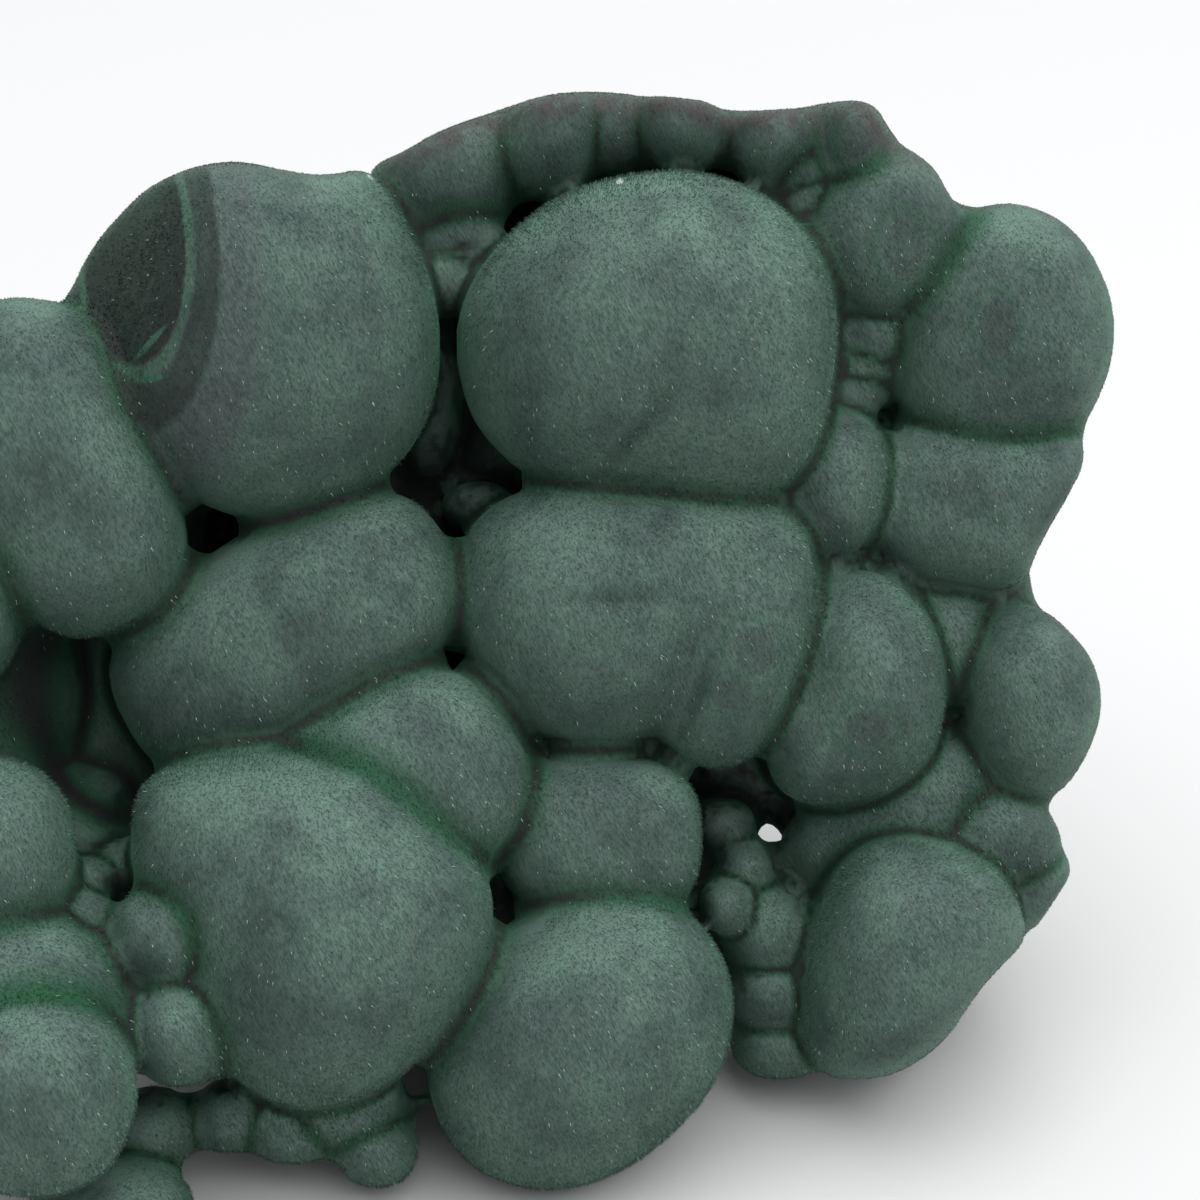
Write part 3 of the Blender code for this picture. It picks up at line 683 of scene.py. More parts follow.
@dataclass
class Skin:
    """The stone's skin: its grain size, how deep it sits under the nap's tips, and its unevenness."""

    view: FaceView
    field: DomeField
    heap_subdivisions: int = 4
    rough_voxel: float = 0.6
    fine_voxel: float = 0.5
    nap_depth: float = 0.15
    settle_steps: int = 3
    settle_limit: float = 0.7
    swell: float = 0.16
    swell_scale: float = 6.0
    ripple: float = 0.05
    ripple_scale: float = 1.8
    groove_depth: float = 0.4
    standing_cut: float = 0.6
    cutter_front: float = 50.0
    cutter_back: float = -60.0
    ray_length: float = 9.0
    ray_count: int = 10
    ray_lowest: float = 0.25
    ray_rise: float = 0.7
    ray_start: float = 0.08
    tight_gap: float = 1.15
    ease_rounds: int = 22
    most_triangles: int = 192000
    shift: Vector = field(default_factory=Vector)

    def add_dome(self, heap: bmesh.types.BMesh, name: str, dome: Dome) -> None:
        """Add one dome to the heap, squared off by its fullness and worn flat where it has facets.

        Args:
            heap: The domes so far.
            name: The dome's name.
            dome: The dome.
        """
        shape = bmesh.new()
        bmesh.ops.create_icosphere(shape, subdivisions=self.heap_subdivisions, radius=1.0)
        power = 2.0 / dome.fullness
        for vert in shape.verts:
            vert.co = Vector([math.copysign(abs(c) ** power, c) for c in vert.co])
        turn = Matrix.Rotation(math.radians(dome.turn), 4, "Z")
        half = Matrix.Diagonal((*self.field.half_sizes(dome), 1.0))
        bmesh.ops.transform(shape, matrix=turn @ half, verts=shape.verts)
        for facet in FACETS.get(name, ()):
            normal = Vector((facet.across, facet.up, facet.out)).normalized()
            bmesh.ops.contextual_create(shape, geom=slice_off(shape, normal * facet.distance, normal))
        place = Matrix.Translation((dome.across, dome.up, dome.out))
        bmesh.ops.transform(shape, matrix=place, verts=shape.verts)
        mesh = bpy.data.meshes.new("dome")
        shape.to_mesh(mesh)
        shape.free()
        heap.from_mesh(mesh)
        bpy.data.meshes.remove(mesh)

    def heap(self) -> bpy.types.Object:
        """Put all domes in one object, still passing through each other.

        Returns:
            The object.
        """
        heap = bmesh.new()
        for group in DOMES.values():
            for name, dome in group.items():
                self.add_dome(heap, name, dome)
        return new_object("malachite_skin", heap)

    def rim_cutter(self) -> bpy.types.Object:
        """Build the tapered block whose sides trim the rim, widening away from the eye.

        Returns:
            The block.
        """
        shape = bmesh.new()
        edges = []
        middle = self.view.middle_up
        for out in (self.cutter_front, self.cutter_back):
            scale = (self.view.eye_distance - out) / (self.view.eye_distance - self.field.rim_out)
            ring = [(x * scale, middle + (y - middle) * scale, out) for x, y in self.field.rim]
            edges += list(shape.faces.new([shape.verts.new(place) for place in ring]).edges)
        bmesh.ops.bridge_loops(shape, edges=edges)
        bmesh.ops.recalc_face_normals(shape, faces=shape.faces[:])
        cutter = new_object("rim_cutter", shape)
        cutter.hide_render = True
        return cutter

    def fuse(self, thing: bpy.types.Object, voxel: float) -> None:
        """Join what passes through each other into one even skin.

        Args:
            thing: The heap of domes, or the skin so far.
            voxel: The new skin's grain size.
        """
        join = thing.modifiers.new("fuse", "REMESH")
        join.mode = "VOXEL"
        join.voxel_size = voxel
        apply_modifiers(thing)

    def trim(self, thing: bpy.types.Object) -> None:
        """Cut the skin off at the worn rim.

        Args:
            thing: The skin.
        """
        cutter = self.rim_cutter()
        cut = thing.modifiers.new("trim", "BOOLEAN")
        cut.operation = "INTERSECT"
        cut.solver = "EXACT"
        cut.object = cutter
        apply_modifiers(thing)
        bpy.data.objects.remove(cutter)

    def keep_largest_shell(self, thing: bpy.types.Object) -> None:
        """Drop every closed shell but the largest, which fills sealed pockets between the domes.

        Args:
            thing: The skin.
        """
        mesh = thing.data
        ends = np.empty(len(mesh.edges) * 2, np.int32)
        mesh.edges.foreach_get("vertices", ends)
        ends = ends.reshape(-1, 2)
        label = np.arange(len(mesh.vertices))
        while True:
            low = np.minimum(label[ends[:, 0]], label[ends[:, 1]])
            before = label.copy()
            np.minimum.at(label, ends[:, 0], low)
            np.minimum.at(label, ends[:, 1], low)
            label = label[label]
            if np.array_equal(before, label):
                break
        names, counts = np.unique(label, return_counts=True)
        stray = np.flatnonzero(label != names[counts.argmax()])
        with edited(thing) as shape:
            bmesh.ops.delete(shape, geom=[shape.verts[i] for i in stray], context="VERTS")

    def settle(self, thing: bpy.types.Object) -> None:
        """Move every vertex onto the smooth field, just under the nap's tips.

        Args:
            thing: The skin.
        """
        points = mesh_points(thing.data)
        for _ in range(self.settle_steps):
            distance, away = self.field.at(points)[:2]
            step = np.clip(distance + self.nap_depth, -self.settle_limit, self.settle_limit)
            points = points - away * step[:, None]
        set_points(thing.data, points)

    def ease_clefts(self, thing: bpy.types.Object) -> None:
        """Even out the skin where two domes press against each other.

        Args:
            thing: The skin.
        """
        gap = self.field.at(mesh_points(thing.data))[2]
        axes = {"use_axis_x": True, "use_axis_y": True, "use_axis_z": True}
        with edited(thing) as shape:
            tight = [shape.verts[i] for i in np.flatnonzero(gap < self.tight_gap)]
            for _ in range(self.ease_rounds):
                bmesh.ops.smooth_vert(shape, verts=tight, factor=0.5, **axes)

    def roughen(self, thing: bpy.types.Object) -> None:
        """Give the skin a slight unevenness, and sink its shallow grooves.

        Args:
            thing: The skin.
        """
        points = mesh_points(thing.data)
        away = self.field.at(points)[1]
        rise = [
            self.swell * noise.noise(Vector(p) / self.swell_scale)
            + self.ripple * noise.noise(Vector(p) / self.ripple_scale)
            for p in points
        ]
        rise = np.array(rise)
        for mark in GROOVES:
            turn = math.radians(mark.turn)
            x, y = points[:, 0] - mark.across, points[:, 1] - mark.up
            along = (x * math.cos(turn) + y * math.sin(turn)) / mark.half_width
            beside = (y * math.cos(turn) - x * math.sin(turn)) / mark.half_height
            near = np.clip(1.0 - np.hypot(along, beside), 0.0, 1.0) * (points[:, 2] > 0.0)
            rise -= self.groove_depth * near * near * (3.0 - 2.0 * near)
        set_points(thing.data, points + away * rise[:, None])

    def thin(self, thing: bpy.types.Object) -> None:
        """Drop the vertices that the skin's even parts can spare, to keep to the most triangles allowed.

        Args:
            thing: The skin.
        """
        count = sum(len(face.vertices) - 2 for face in thing.data.polygons)
        fewer = thing.modifiers.new("thin", "DECIMATE")
        fewer.ratio = min(self.most_triangles / count, 1.0)
        apply_modifiers(thing)

    def openness(self, thing: bpy.types.Object, away: np.ndarray) -> np.ndarray:
        """Work out how much of the sky over each vertex the other domes leave open.

        Args:
            thing: The skin.
            away: The outward direction at each vertex.

        Returns:
            The open share, one a vertex.
        """
        mesh = thing.data
        tree = BVHTree.FromPolygons(
            [v.co[:] for v in mesh.vertices], [p.vertices[:] for p in mesh.polygons], all_triangles=False
        )
        golden = math.pi * (3.0 - math.sqrt(5.0))
        rays = []
        for index in range(self.ray_count):
            rise = self.ray_lowest + self.ray_rise * (index + 0.5) / self.ray_count
            flat = math.sqrt(1.0 - rise * rise)
            rays.append((flat * math.cos(golden * index), flat * math.sin(golden * index), rise))
        points = mesh_points(mesh)
        side = np.cross(away, np.array(ODD_WAY))
        side /= np.linalg.norm(side, axis=1)[:, None] + TINY
        other = np.cross(away, side)
        seen = np.zeros(len(points))
        starts = points + away * self.ray_start
        for x, y, z in rays:
            ways = side * x + other * y + away * z
            for index in range(len(points)):
                hit = tree.ray_cast(Vector(starts[index]), Vector(ways[index]), self.ray_length)
                seen[index] += hit[0] is None
        return seen / self.ray_count

    def dress_values(self, thing: bpy.types.Object) -> None:
        """Store on the skin what its finish reads: clefts, open sky, wear, stain and how far up it faces.

        Args:
            thing: The skin.
        """
        points = mesh_points(thing.data)
        _, away, gap, worn, stained, reach = self.field.at(points)
        cleft = np.clip(1.0 - gap / reach, 0.0, 1.0)
        # How far up each place faces, which the finish turns into painted shade below and painted light
        # above
        upward = 0.5 + 0.5 * (away @ np.array(self.view.to_world().to_3x3().row[2]))
        for name, values in zip(LEVELS, (cleft, self.openness(thing, away), worn, stained, upward)):
            store_level(thing.data, name, values)

    def stand(self, thing: bpy.types.Object) -> None:
        """Turn the skin upright, cut the flats it stands on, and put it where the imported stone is.

        Args:
            thing: The skin.
        """
        low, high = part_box(NODE)
        target = (low + high) / (2.0 * MM)
        with edited(thing) as shape:
            bmesh.ops.transform(shape, matrix=self.view.to_world(), verts=shape.verts)
            edges = slice_off(shape, Vector((0.0, 0.0, self.standing_cut)), Vector((0.0, 0.0, -1.0)))
            bmesh.ops.holes_fill(shape, edges=edges, sides=0)
            xs = [vert.co.x for vert in shape.verts]
            ys = [vert.co.y for vert in shape.verts]
            middle_x, middle_y = (min(xs) + max(xs)) / 2.0, (min(ys) + max(ys)) / 2.0
            self.shift = Vector((target.x - middle_x, target.y - middle_y, -self.standing_cut))
            bmesh.ops.translate(shape, vec=self.shift, verts=shape.verts)
            bmesh.ops.scale(shape, vec=(MM, MM, MM), verts=shape.verts)
            bmesh.ops.recalc_face_normals(shape, faces=shape.faces[:])
        thing.data.shade_smooth()

    def build(self) -> bpy.types.Object:
        """Build the skin.

        Returns:
            The finished skin, in metres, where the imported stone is.
        """
        thing = self.heap()
        self.fuse(thing, self.rough_voxel)
        self.trim(thing)
        self.keep_largest_shell(thing)
        self.settle(thing)
        self.ease_clefts(thing)
        self.fuse(thing, self.fine_voxel)
        self.keep_largest_shell(thing)
        self.settle(thing)
        self.ease_clefts(thing)
        self.roughen(thing)
        self.thin(thing)
        self.dress_values(thing)
        self.stand(thing)
        return thing


@dataclass
class Nap:
    """The velvet nap: short flat fibres that lean down and to the right all over the open skin."""

    view: FaceView
    pieces: int = 4
    fibres_a_piece: int = 150000
    length: float = 0.26
    length_spread: float = 0.35
    width: float = 0.055
    lean: float = 1.2
    stray: float = 0.28
    twist: float = 0.35
    bare_foot: float = 0.2
    least_open: float = 0.3
    open_span: float = 0.3
    rubbed: float = 0.7
    seed: int = 7

    def lie(self) -> Vector:
        """The way the fibres lean, in the world: down the face and a little to the right."""
        return (self.view.to_world().to_3x3() @ Vector((*FIBRE_LIE, 0.0))).normalized()

    def fibre_mesh(self, name: str, tips: np.ndarray, levels: dict) -> bpy.types.Mesh:
        """One mesh of loose three-cornered fibres.

        Args:
            name: The mesh's name.
            tips: Corners of all fibres, by fibre, corner and axis.
            levels: What the finish reads, one value a fibre.

        Returns:
            The mesh.
        """
        count = len(tips)
        mesh = bpy.data.meshes.new(name)
        mesh.vertices.add(count * 3)
        mesh.vertices.foreach_set("co", tips.astype(np.float32).ravel())
        mesh.loops.add(count * 3)
        mesh.loops.foreach_set("vertex_index", np.arange(count * 3, dtype=np.int32))
        mesh.polygons.add(count)
        mesh.polygons.foreach_set("loop_start", np.arange(0, count * 3, 3, dtype=np.int32))
        mesh.update(calc_edges=True)
        for key, amount in levels.items():
            store_level(mesh, key, np.repeat(amount, 3))
        store_level(mesh, "tip", np.tile((0.0, 0.0, 1.0), count))
        return mesh

    def grow(self, skin: bpy.types.Object) -> list:
        """Grow the nap on the skin.

        Args:
            skin: The finished skin.

        Returns:
            The nap's pieces.
        """
        mesh = skin.data
        mesh.calc_loop_triangles()
        points = mesh_points(mesh)
        normals = mesh_rows(mesh.vertices, "normal").astype(float)
        corners = mesh_rows(mesh.loop_triangles, "vertices", np.int32)
        levels = {}
        for name in LEVELS:
            amount = np.empty(len(mesh.vertices), np.float32)
            mesh.attributes[name].data.foreach_get("value", amount)
            levels[name] = amount
        a, b, c = (points[corners[:, k]] for k in range(3))
        area = np.linalg.norm(np.cross(b - a, c - a), axis=1) / 2.0
        open_sky = levels["open_sky"][corners].mean(axis=1)
        low = points[corners][:, :, 2].max(axis=1) < self.bare_foot * MM
        kept = 1.0 - self.rubbed * levels["worn"][corners].mean(axis=1)
        weight = area * np.clip((open_sky - self.least_open) / self.open_span, 0.0, 1.0) * ~low * kept
        weight /= weight.sum()
        rng = np.random.default_rng(self.seed)
        lie = np.array(self.lie())
        made = []
        for number in range(self.pieces):
            count = self.fibres_a_piece
            pick = rng.choice(len(corners), count, p=weight)
            share = rng.random((count, 2))
            over = share.sum(axis=1) > 1.0
            share[over] = 1.0 - share[over]
            mix = np.stack((1.0 - share.sum(axis=1), share[:, 0], share[:, 1]), axis=1)
            root = (points[corners[pick]] * mix[:, :, None]).sum(axis=1)
            normal = (normals[corners[pick]] * mix[:, :, None]).sum(axis=1)
            normal /= np.linalg.norm(normal, axis=1)[:, None]
            lying = lie - normal * (normal @ lie)[:, None]
            way = normal + self.lean * lying + self.stray * rng.normal(size=(count, 3))
            way /= np.linalg.norm(way, axis=1)[:, None]
            side = np.cross(way, normal) + self.twist * rng.normal(size=(count, 3))
            side -= way * (side * way).sum(axis=1)[:, None]
            side /= np.linalg.norm(side, axis=1)[:, None] + TINY
            chosen = {name: (amount[corners[pick]] * mix).sum(axis=1) for name, amount in levels.items()}
            long = self.length * (1.0 + self.length_spread * rng.uniform(-1.0, 1.0, count)) * MM
            long *= 1.0 - self.rubbed * chosen["worn"]
            half = side * (self.width * MM / 2.0)
            tips = np.stack((root - half, root + half, root + way * long[:, None]), axis=1)
            tips[:, :, 2] = np.maximum(tips[:, :, 2], 0.0)
            # A random value a fibre, which picks the few fibres that get a painted glint
            chosen["glint"] = rng.random(count)
            name = f"velvet_nap_{number + 1}"
            thing = bpy.data.objects.new(name, self.fibre_mesh(name, tips, chosen))
            bpy.context.scene.collection.objects.link(thing)
            made.append(thing)
        return made


Socket = bpy.types.NodeSocket

# Where a band starts that covers a mark's middle too
CENTRE = -1.0


@dataclass(frozen=True)
class Band:
    """A band of colour round a mark, in distances from its middle, with 1 at the mark's edge."""

    inner: float
    outer: float
    blur: float
    strength: float
    colour: str


@dataclass
class NodeKit:
    """A material's node tree, with the few sums and mixes that the finish is made of."""

    tree: bpy.types.NodeTree

    def feed(self, socket: Socket, value: Socket | float | str) -> None:
        """Give a socket a hex colour, a number or another node's output.

        Args:
            socket: The input socket.
            value: What it gets.
        """
        if isinstance(value, Socket):
            self.tree.links.new(value, socket)
        else:
            socket.default_value = hex_colour(value) if isinstance(value, str) else value

    def mix(
        self, share: Socket | float, first: Socket | str, second: Socket | str, blend: str = "MIX"
    ) -> Socket:
        """Mix two colours.

        Args:
            share: How much of the second there is.
            first: The first colour.
            second: The second colour.
            blend: How the second is laid on the first.

        Returns:
            The mixed colour.
        """
        node = add_node(self.tree, "ShaderNodeMix", {"data_type": "RGBA", "blend_type": blend})
        for number, value in ((0, share), (6, first), (7, second)):
            self.feed(node.inputs[number], value)
        return node.outputs[2]

    def reckon(self, operation: str, first: Socket | float, second: Socket | float) -> Socket:
        """Work out a sum, a product or the like.

        Args:
            operation: The operation's name in Blender.
            first: The first value.
            second: The second value.

        Returns:
            The result.
        """
        node = add_node(self.tree, "ShaderNodeMath", {"operation": operation})
        for number, value in enumerate((first, second)):
            self.feed(node.inputs[number], value)
        return node.outputs[0]

    def lay(self, body: Socket, colour: str, *shares: Socket | float) -> Socket:
        """Lay a colour on the body.

        Args:
            body: The colour so far.
            colour: The colour on top.
            shares: Values whose product is how strong it is.

        Returns:
            The new colour.
        """
        total = shares[0]
        for share in shares[1:]:
            total = self.reckon("MULTIPLY", total, share)
        return self.mix(total, body, colour)

    def stretch(self, value: Socket, low: float, high: float) -> Socket:
        """Spread a value so that low gives 0 and high gives 1.

        Args:
            value: The value.
            low: What gives 0.
            high: What gives 1, above or below low.

        Returns:
            The spread value.
        """
        spread = {"interpolation_type": "SMOOTHSTEP", "From Min": low, "From Max": high}
        return add_node(self.tree, "ShaderNodeMapRange", spread, {"Value": value}).outputs["Result"]

    def noise(self, place: Socket, size: float, detail: float = 3.0) -> Socket:
        """Make a soft noise.

        Args:
            place: The place to read it at.
            size: About how large its blotches are, in the place's own unit.
            detail: How many finer layers it has.

        Returns:
            The noise.
        """
        settings = {"Scale": 1.0 / size, "Detail": detail}
        return add_node(self.tree, "ShaderNodeTexNoise", settings, {"Vector": place}).outputs["Fac"]

    def part(self, place: Socket, axis: str) -> Socket:
        """One axis of a place."""
        return add_node(self.tree, "ShaderNodeSeparateXYZ", links={"Vector": place}).outputs[axis]

    def mapped(self, place: Socket, **settings: tuple | str) -> Socket:
        """The place moved, turned and scaled by a mapping."""
        return add_node(self.tree, "ShaderNodeMapping", settings, {"Vector": place}).outputs["Vector"]

    def mark_level(self, face: Socket, mark: Mark) -> Socket:
        """Work out how far a place is from a mark's middle, with 1 at the mark's edge.

        Args:
            face: The place across, up and out of the face.
            mark: The mark.

        Returns:
            The distance.
        """
        flat = {"operation": "MULTIPLY", 1: (1.0, 1.0, 1.0 if mark.half_depth else 0.0)}
        own = self.mapped(
            add_node(self.tree, "ShaderNodeVectorMath", flat, {0: face}).outputs[0],
            vector_type="TEXTURE",
            Location=(mark.across, mark.up, mark.out),
            Rotation=(0.0, 0.0, math.radians(mark.turn)),
            Scale=(mark.half_width, mark.half_height, mark.half_depth or 1.0),
        )
        size = add_node(self.tree, "ShaderNodeVectorMath", {"operation": "LENGTH"}, {0: own})
        return size.outputs["Value"]

    def banded(self, body: Socket, level: Socket, bands: tuple, shown: Socket | float) -> Socket:
        """Lay bands of colour round a mark.

        Args:
            body: The colour so far.
            level: The distance from the mark's middle.
            bands: The bands, the lowest first.
            shown: Where the mark shows at all.

        Returns:
            The new colour.
        """
        for band in bands:
            inside = self.stretch(level, band.outer + band.blur, band.outer - band.blur)
            outside = self.stretch(level, band.inner - band.blur, band.inner + band.blur)
            body = self.lay(body, band.colour, outside, inside, band.strength, shown)
        return body


@dataclass(frozen=True)
class VelvetMalachite:
    """Malachite, grown as radiating fibres whose ends make a matt velvet skin.

    Seen on a dome's top the fibre ends scatter a greyish green. Near the clefts a deeper, purer green
    is painted: a painted sheen for the fibres' grazing shine and the green light that the domes throw
    on each other. The tightest clefts and the hollows closed to the sky get a painted shade that is
    nearly black. Where the skin is worn or stained it is nearly black, edged with pale growth bands. A span
    is the pair of values between which a colour comes in.
    """

    top: str = "637872"
    top_light: str = "688679"
    top_dark: str = "4A5F5A"
    # Painted sheen near the clefts, for the fibres' grazing shine and the green light the domes throw on
    # each other
    cleft: str = "175636"
    root: str = "3A7056"
    # Painted shade, nearly black, for the tightest clefts and the hollows closed to the sky
    painted_crevice_shade: str = "151419"
    worn: str = "4D4949"
    halo: str = "3A6E54"
    spot: str = "43544F"
    stain: str = "121517"
    ash: str = "565F62"
    glint: str = "A9BFB3"
    groove_painted_shade: str = "263B34"
    fleck: str = "D9E2DC"
    grain_dark: str = "B4B4B4"
    grain_light: str = "FFFFFF"
    cloud_mm: float = 5.5
    mottle_mm: float = 1.5
    fibre_width_mm: float = 0.12
    fibre_length_mm: float = 0.7
    bump_mm: float = 0.05
    bump_strength: float = 0.4
    roughness: float = 0.75
    sheen: float = 0.2
    sheen_roughness: float = 0.5
    sheen_tint: str = "6FC79A"
    cloud_span: tuple = (0.34, 0.62)
    mottle_span: tuple = (0.35, 0.65)
    mottle_share: float = 0.5
    tip_span: tuple = (0.0, 0.7)
    cleft_painted_sheen_span: tuple = (0.2, 0.9)
    tight_cleft_shade_span: tuple = (0.64, 0.98)
    shut_sky_shade_span: tuple = (0.95, 0.5)
    closed_sky_shade_span: tuple = (0.0, 0.3)
    glint_span: tuple = (0.985, 0.99)
    front_span: tuple = (-9.0, -7.0)
    top_rim_span: tuple = (66.0, 69.5)
    patch_span: tuple = (0.25, 0.6)
    top_grey_span: tuple = (0.1, 0.8)
    edge_wear_span: tuple = (0.75, 1.0)
    edge_wear: float = 0.6
    grain_span: tuple = (0.32, 0.68)
    grain_share: float = 0.8
    spot_wander: float = 0.5
    stain_wander: float = 0.1
    painted_underside_shades: tuple = ((0.35, 0.58), (0.71, 0.72), (0.95, 1.0))

    def build(self, name: str, view: FaceView, shift: Vector, with_glint: bool) -> bpy.types.Material:
        """Build the finish.

        Args:
            name: The material's name.
            view: How the face is read.
            shift: Where the upright stone was moved to, in millimetres.
            with_glint: Whether the fibres' roots are greener than their tips, and a few single fibres get a
                painted glint.

        Returns:
            The material.
        """
        material = bpy.data.materials.new(name)
        material.use_nodes = True
        kit = NodeKit(material.node_tree)
        surface = kit.tree.nodes["Principled BSDF"]
        place = add_node(kit.tree, "ShaderNodeTexCoord").outputs["Object"]
        levels = {
            key: add_node(kit.tree, "ShaderNodeAttribute", {"attribute_name": key}).outputs["Fac"]
            for key in ("cleft", "open_sky", "worn", "stained", "upward", "glint", "tip")
        }
        face = self.face_place(kit, place, view, shift)
        front = kit.stretch(kit.part(face, "Z"), *self.front_span)
        mottle = kit.noise(place, self.mottle_mm * MM)
        body = self.clouded(kit, place, mottle)
        if with_glint:
            body = kit.mix(kit.stretch(levels["tip"], *self.tip_span), self.root, body)
        # Painted sheen: deeper green near the clefts, where the green domes light each other
        body = kit.lay(body, self.cleft, kit.stretch(levels["cleft"], *self.cleft_painted_sheen_span))
        # Painted shade in the tightest clefts, where little sky is open
        shut = kit.stretch(levels["open_sky"], *self.shut_sky_shade_span)
        body = kit.lay(body, self.painted_crevice_shade, kit.stretch(levels["cleft"], *self.tight_cleft_shade_span), shut)
        body = self.marked(kit, body, face, mottle, front)
        body = self.stained(kit, body, face, mottle, kit.reckon("MULTIPLY", levels["stained"], front))
        body = self.rubbed(kit, body, face, mottle, levels["worn"])
        # Painted shade where the other domes close off most of the sky
        body = kit.mix(kit.stretch(levels["open_sky"], *self.closed_sky_shade_span), self.painted_crevice_shade, body)
        # Painted shade on the undersides and painted light on the tops
        body = self.shaded(kit, body, levels["upward"])
        grain = self.grain(kit, face)
        body = self.grained(kit, body, grain)
        if with_glint:
            # Painted highlight: a pale glint on a few fibres picked at random
            body = kit.lay(body, self.glint, kit.stretch(levels["glint"], *self.glint_span))
        kit.feed(surface.inputs["Base Color"], body)
        kit.feed(surface.inputs["Roughness"], self.roughness)
        kit.feed(surface.inputs["Sheen Weight"], self.sheen)
        kit.feed(surface.inputs["Sheen Roughness"], self.sheen_roughness)
        kit.feed(surface.inputs["Sheen Tint"], self.sheen_tint)
        relief = {"Strength": self.bump_strength, "Distance": self.bump_mm * MM}
        bump = add_node(kit.tree, "ShaderNodeBump", relief, {"Height": grain})
        kit.feed(surface.inputs["Normal"], bump.outputs["Normal"])
        return material

    def face_place(self, kit: NodeKit, place: Socket, view: FaceView, shift: Vector) -> Socket:
        """Turn a place on the stone into millimetres across, up and out of the face.

        Args:
            kit: The material's nodes.
            place: The place on the stone.
            view: How the face is read.
            shift: Where the upright stone was moved to, in millimetres.

        Returns:
            The place on the face.
        """
        back = view.to_world().to_3x3().transposed()
        location = (-(back @ shift))[:]
        return kit.mapped(place, Scale=(1.0 / MM,) * 3, Rotation=back.to_euler()[:], Location=location)

    def grain(self, kit: NodeKit, face: Socket) -> Socket:
        """Draw fine streaks that lie as the fibres do, down the face and a little to the right.

        Args:
            kit: The material's nodes.
            face: The place on the face.

        Returns:
            The streaks.
        """
        across, along = 1.0 / self.fibre_width_mm, 1.0 / self.fibre_length_mm
        turned = kit.mapped(face, Rotation=(0.0, 0.0, math.atan2(-FIBRE_LIE[1], FIBRE_LIE[0])))
        return kit.noise(kit.mapped(turned, Scale=(along, across, across)), 1.0, detail=2.0)

    def clouded(self, kit: NodeKit, place: Socket, mottle: Socket) -> Socket:
        """Colour the bare skin with clouds and smaller mottling.

        Args:
            kit: The material's nodes.
            place: The place on the stone.
            mottle: The mottling noise.

        Returns:
            The colour.
        """
        clouds = kit.noise(place, self.cloud_mm * MM)
        body = kit.mix(kit.stretch(clouds, *self.cloud_span), self.top_dark, self.top_light)
        fine = kit.mix(kit.stretch(mottle, *self.mottle_span), self.top, body)
        return kit.mix(self.mottle_share, body, fine)

    def marked(self, kit: NodeKit, body: Socket, face: Socket, mottle: Socket, front: Socket) -> Socket:
        """Add the dusky growth spots with their faint brighter rings, painted shade along the grooves, and
        the pale flecks.

        Args:
            kit: The material's nodes.
            body: The colour so far.
            face: The place on the face.
            mottle: The mottling noise.
            front: 1 on the face's side of the stone and 0 on its back.

        Returns:
            The new colour.
        """
        wander = kit.reckon("MULTIPLY", mottle, self.spot_wander)
        for mark in SPOTS:
            level = kit.reckon("ADD", kit.mark_level(face, mark), wander)
            body = kit.banded(body, level, (Band(1.45, 1.75, 0.2, 0.45, self.halo),), 1.0)
            body = kit.banded(body, level, (Band(CENTRE, 1.15, 0.25, 0.55, self.spot),), front)
        # Painted shade along the grooves
        groove_shade_band = Band(CENTRE, 0.55, 0.55, 0.4, self.groove_painted_shade)
        flecked = Band(CENTRE, 0.95, 0.15, 0.9, self.fleck)
        for marks, band in ((GROOVES, groove_shade_band), (FLECKS, flecked)):
            for mark in marks:
                body = kit.banded(body, kit.mark_level(face, mark), (band,), front)
        return body

    def stained(self, kit: NodeKit, body: Socket, face: Socket, mottle: Socket, shown: Socket) -> Socket:
        """Add the stained patch of the highest dome, with its bands and its bright streaks.

        Args:
            kit: The material's nodes.
            body: The colour so far.
            face: The place on the face.
            mottle: The mottling noise.
            shown: 1 on the front of the stained dome and 0 elsewhere.

        Returns:
            The new colour.
        """
        wander = kit.reckon("MULTIPLY", mottle, self.stain_wander)
        bands = (
            Band(1.5, 2.2, 0.2, 0.6, self.ash),
            Band(1.16, 1.56, 0.06, 0.7, self.stain),
            Band(CENTRE, 1.03, 0.05, 0.95, self.stain),
            Band(1.05, 1.13, 0.03, 0.6, self.halo),
        )
        body = kit.banded(body, kit.reckon("ADD", kit.mark_level(face, STAIN), wander), bands, shown)
        streak = (Band(CENTRE, 0.85, 0.25, 1.0, self.halo),)
        for mark in STREAKS:
            body = kit.banded(body, kit.mark_level(face, mark), streak, shown)
        return body

    def rubbed(self, kit: NodeKit, body: Socket, face: Socket, mottle: Socket, worn: Socket) -> Socket:
        """Lay mauve grey in patches along the top of the rim, and only a little greyer along the rest of
        the rim's edge.

        Args:
            kit: The material's nodes.
            body: The colour so far.
            face: The place on the face.
            mottle: The mottling noise.
            worn: How worn the place is.

        Returns:
            The new colour.
        """
        top = kit.stretch(kit.part(face, "Y"), *self.top_rim_span)
        patchy = kit.stretch(mottle, *self.patch_span)
        # Mauve grey in patches along the top of the rim
        body = kit.lay(body, self.worn, kit.stretch(worn, *self.top_grey_span), patchy, top)
        return kit.lay(body, self.worn, kit.stretch(worn, *self.edge_wear_span), self.edge_wear)

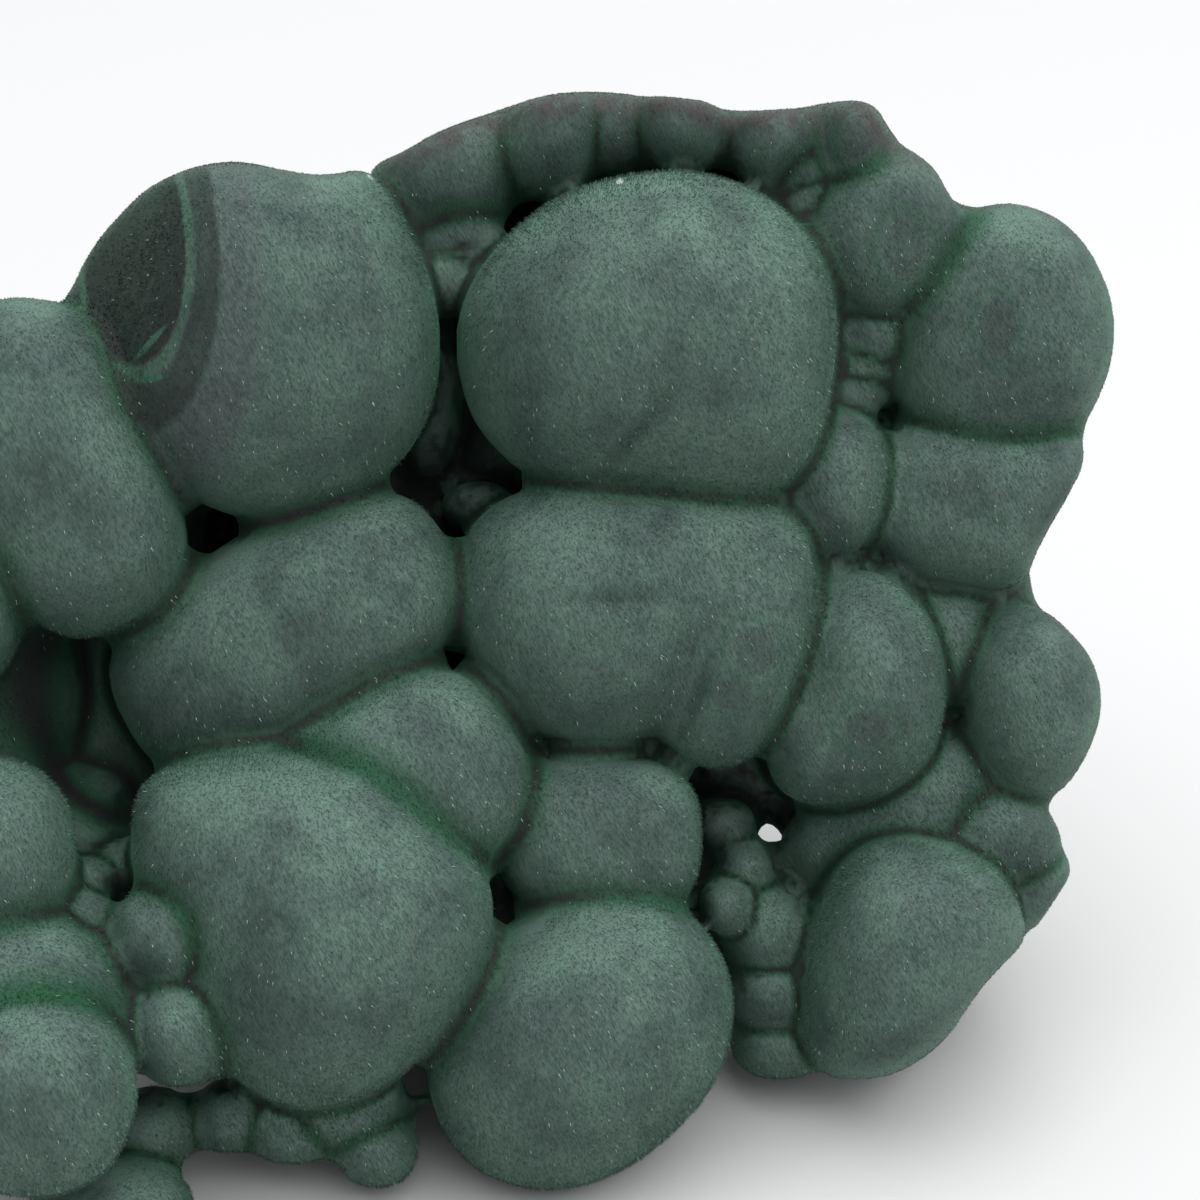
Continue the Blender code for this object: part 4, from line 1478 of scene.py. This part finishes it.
    def shaded(self, kit: NodeKit, body: Socket, upward: Socket) -> Socket:
        """Paint shade by which way the skin faces: undersides darker and tops lighter, as light from above
        falls on the lying nap.

        Args:
            kit: The material's nodes.
            body: The colour so far.
            upward: How far up the skin faces, from 0 to 1.

        Returns:
            The new colour.
        """
        shade = add_node(kit.tree, "ShaderNodeValToRGB", links={"Fac": upward})
        set_ramp(shade, tuple((place, (level, level, level, 1.0)) for place, level in self.painted_underside_shades))
        return kit.mix(1.0, body, shade.outputs["Color"], "MULTIPLY")

    def grained(self, kit: NodeKit, body: Socket, grain: Socket) -> Socket:
        """Draw the fibres' fine light and dark streaks on the colour.

        Args:
            kit: The material's nodes.
            body: The colour so far.
            grain: The streaks.

        Returns:
            The new colour.
        """
        streak = add_node(kit.tree, "ShaderNodeValToRGB", links={"Fac": grain})
        colours = (hex_colour(self.grain_dark), hex_colour(self.grain_light))
        set_ramp(streak, tuple(zip(self.grain_span, colours)))
        return kit.mix(self.grain_share, body, streak.outputs["Color"], "MULTIPLY")


@dataclass(frozen=True)
class PaleTable:
    """Matt white laminate, sprayed smooth, which shows only soft shadows."""

    colour: str = "E4E4E4"
    roughness: float = 0.6

    def build(self) -> bpy.types.Material:
        """Build the finish.

        Returns:
            The material.
        """
        material = bpy.data.materials.new("pale table")
        material.use_nodes = True
        surface = material.node_tree.nodes["Principled BSDF"]
        surface.inputs["Base Color"].default_value = hex_colour(self.colour)
        surface.inputs["Roughness"].default_value = self.roughness
        return material


@dataclass
class Studio:
    """The pale table, the soft light and the camera."""

    view: FaceView
    shift: Vector
    table_size: float = 3.0
    lens: float = 100.0
    sensor: float = 36.0
    sky: str = "F2F4F6"
    sky_strength: float = 0.7
    soft_box_size: float = 2.0
    soft_box_power: float = 19.0
    soft_box_place: tuple = (0.25, -0.25, 1.1)
    soft_box_aim: tuple = (0.0, 0.0, 0.03)

    def table(self) -> None:
        """Lay the table."""
        shape = bmesh.new()
        bmesh.ops.create_grid(shape, x_segments=1, y_segments=1, size=self.table_size)
        table = new_object("table", shape)
        table.data.materials.append(PaleTable().build())

    def lights(self) -> None:
        """Set a bright even sky and one soft box over the stone."""
        scene = bpy.context.scene
        world = bpy.data.worlds.new("soft sky")
        world.use_nodes = True
        background = world.node_tree.nodes["Background"]
        background.inputs["Color"].default_value = hex_colour(self.sky)
        background.inputs["Strength"].default_value = self.sky_strength
        scene.world = world
        box = bpy.data.lights.new("soft_box", "AREA")
        box.size = self.soft_box_size
        box.energy = self.soft_box_power
        lamp = bpy.data.objects.new("soft_box", box)
        lamp.location = self.soft_box_place
        aim = Vector(self.soft_box_aim) - lamp.location
        lamp.rotation_euler = aim.to_track_quat("-Z", "Y").to_euler()
        scene.collection.objects.link(lamp)
        scene.view_settings.view_transform = "Standard"

    def camera(self) -> None:
        """Put the camera where the face is read from."""
        turn = self.view.to_world()
        eye = turn @ Vector((0.0, self.view.middle_up, self.view.eye_distance)) + self.shift
        data = bpy.data.cameras.new("camera")
        data.lens = self.lens
        data.sensor_width = self.sensor
        camera = bpy.data.objects.new("camera", data)
        camera.matrix_world = Matrix.Translation(eye * MM) @ turn
        bpy.context.scene.collection.objects.link(camera)
        bpy.context.scene.camera = camera


def dress(piece: bpy.types.Object, material: bpy.types.Material) -> None:
    """Give a piece its finish and its place in the frame.

    Args:
        piece: The finished piece.
        material: Its finish.
    """
    piece.data.materials.clear()
    piece.data.materials.append(material)
    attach(piece, BODY)
    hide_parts(NODE)
    LOG.info("%s: %d faces", piece.name, len(piece.data.polygons))


def main() -> None:
    """Build the stone, its nap and the studio."""
    logging.basicConfig(level=logging.INFO, format="%(name)s %(message)s")
    view = FaceView()
    skin_maker = Skin(view, DomeField(view))
    skin = skin_maker.build()
    velvet = VelvetMalachite()
    nap = Nap(view).grow(skin)
    shift = skin_maker.shift
    dress(skin, velvet.build("velvet malachite", view, shift, with_glint=False))
    fibres = velvet.build("velvet malachite fibre", view, shift, with_glint=True)
    for piece in nap:
        dress(piece, fibres)
    studio = Studio(view, shift)
    studio.table()
    studio.lights()
    studio.camera()


if __name__ == "__main__":
    main()
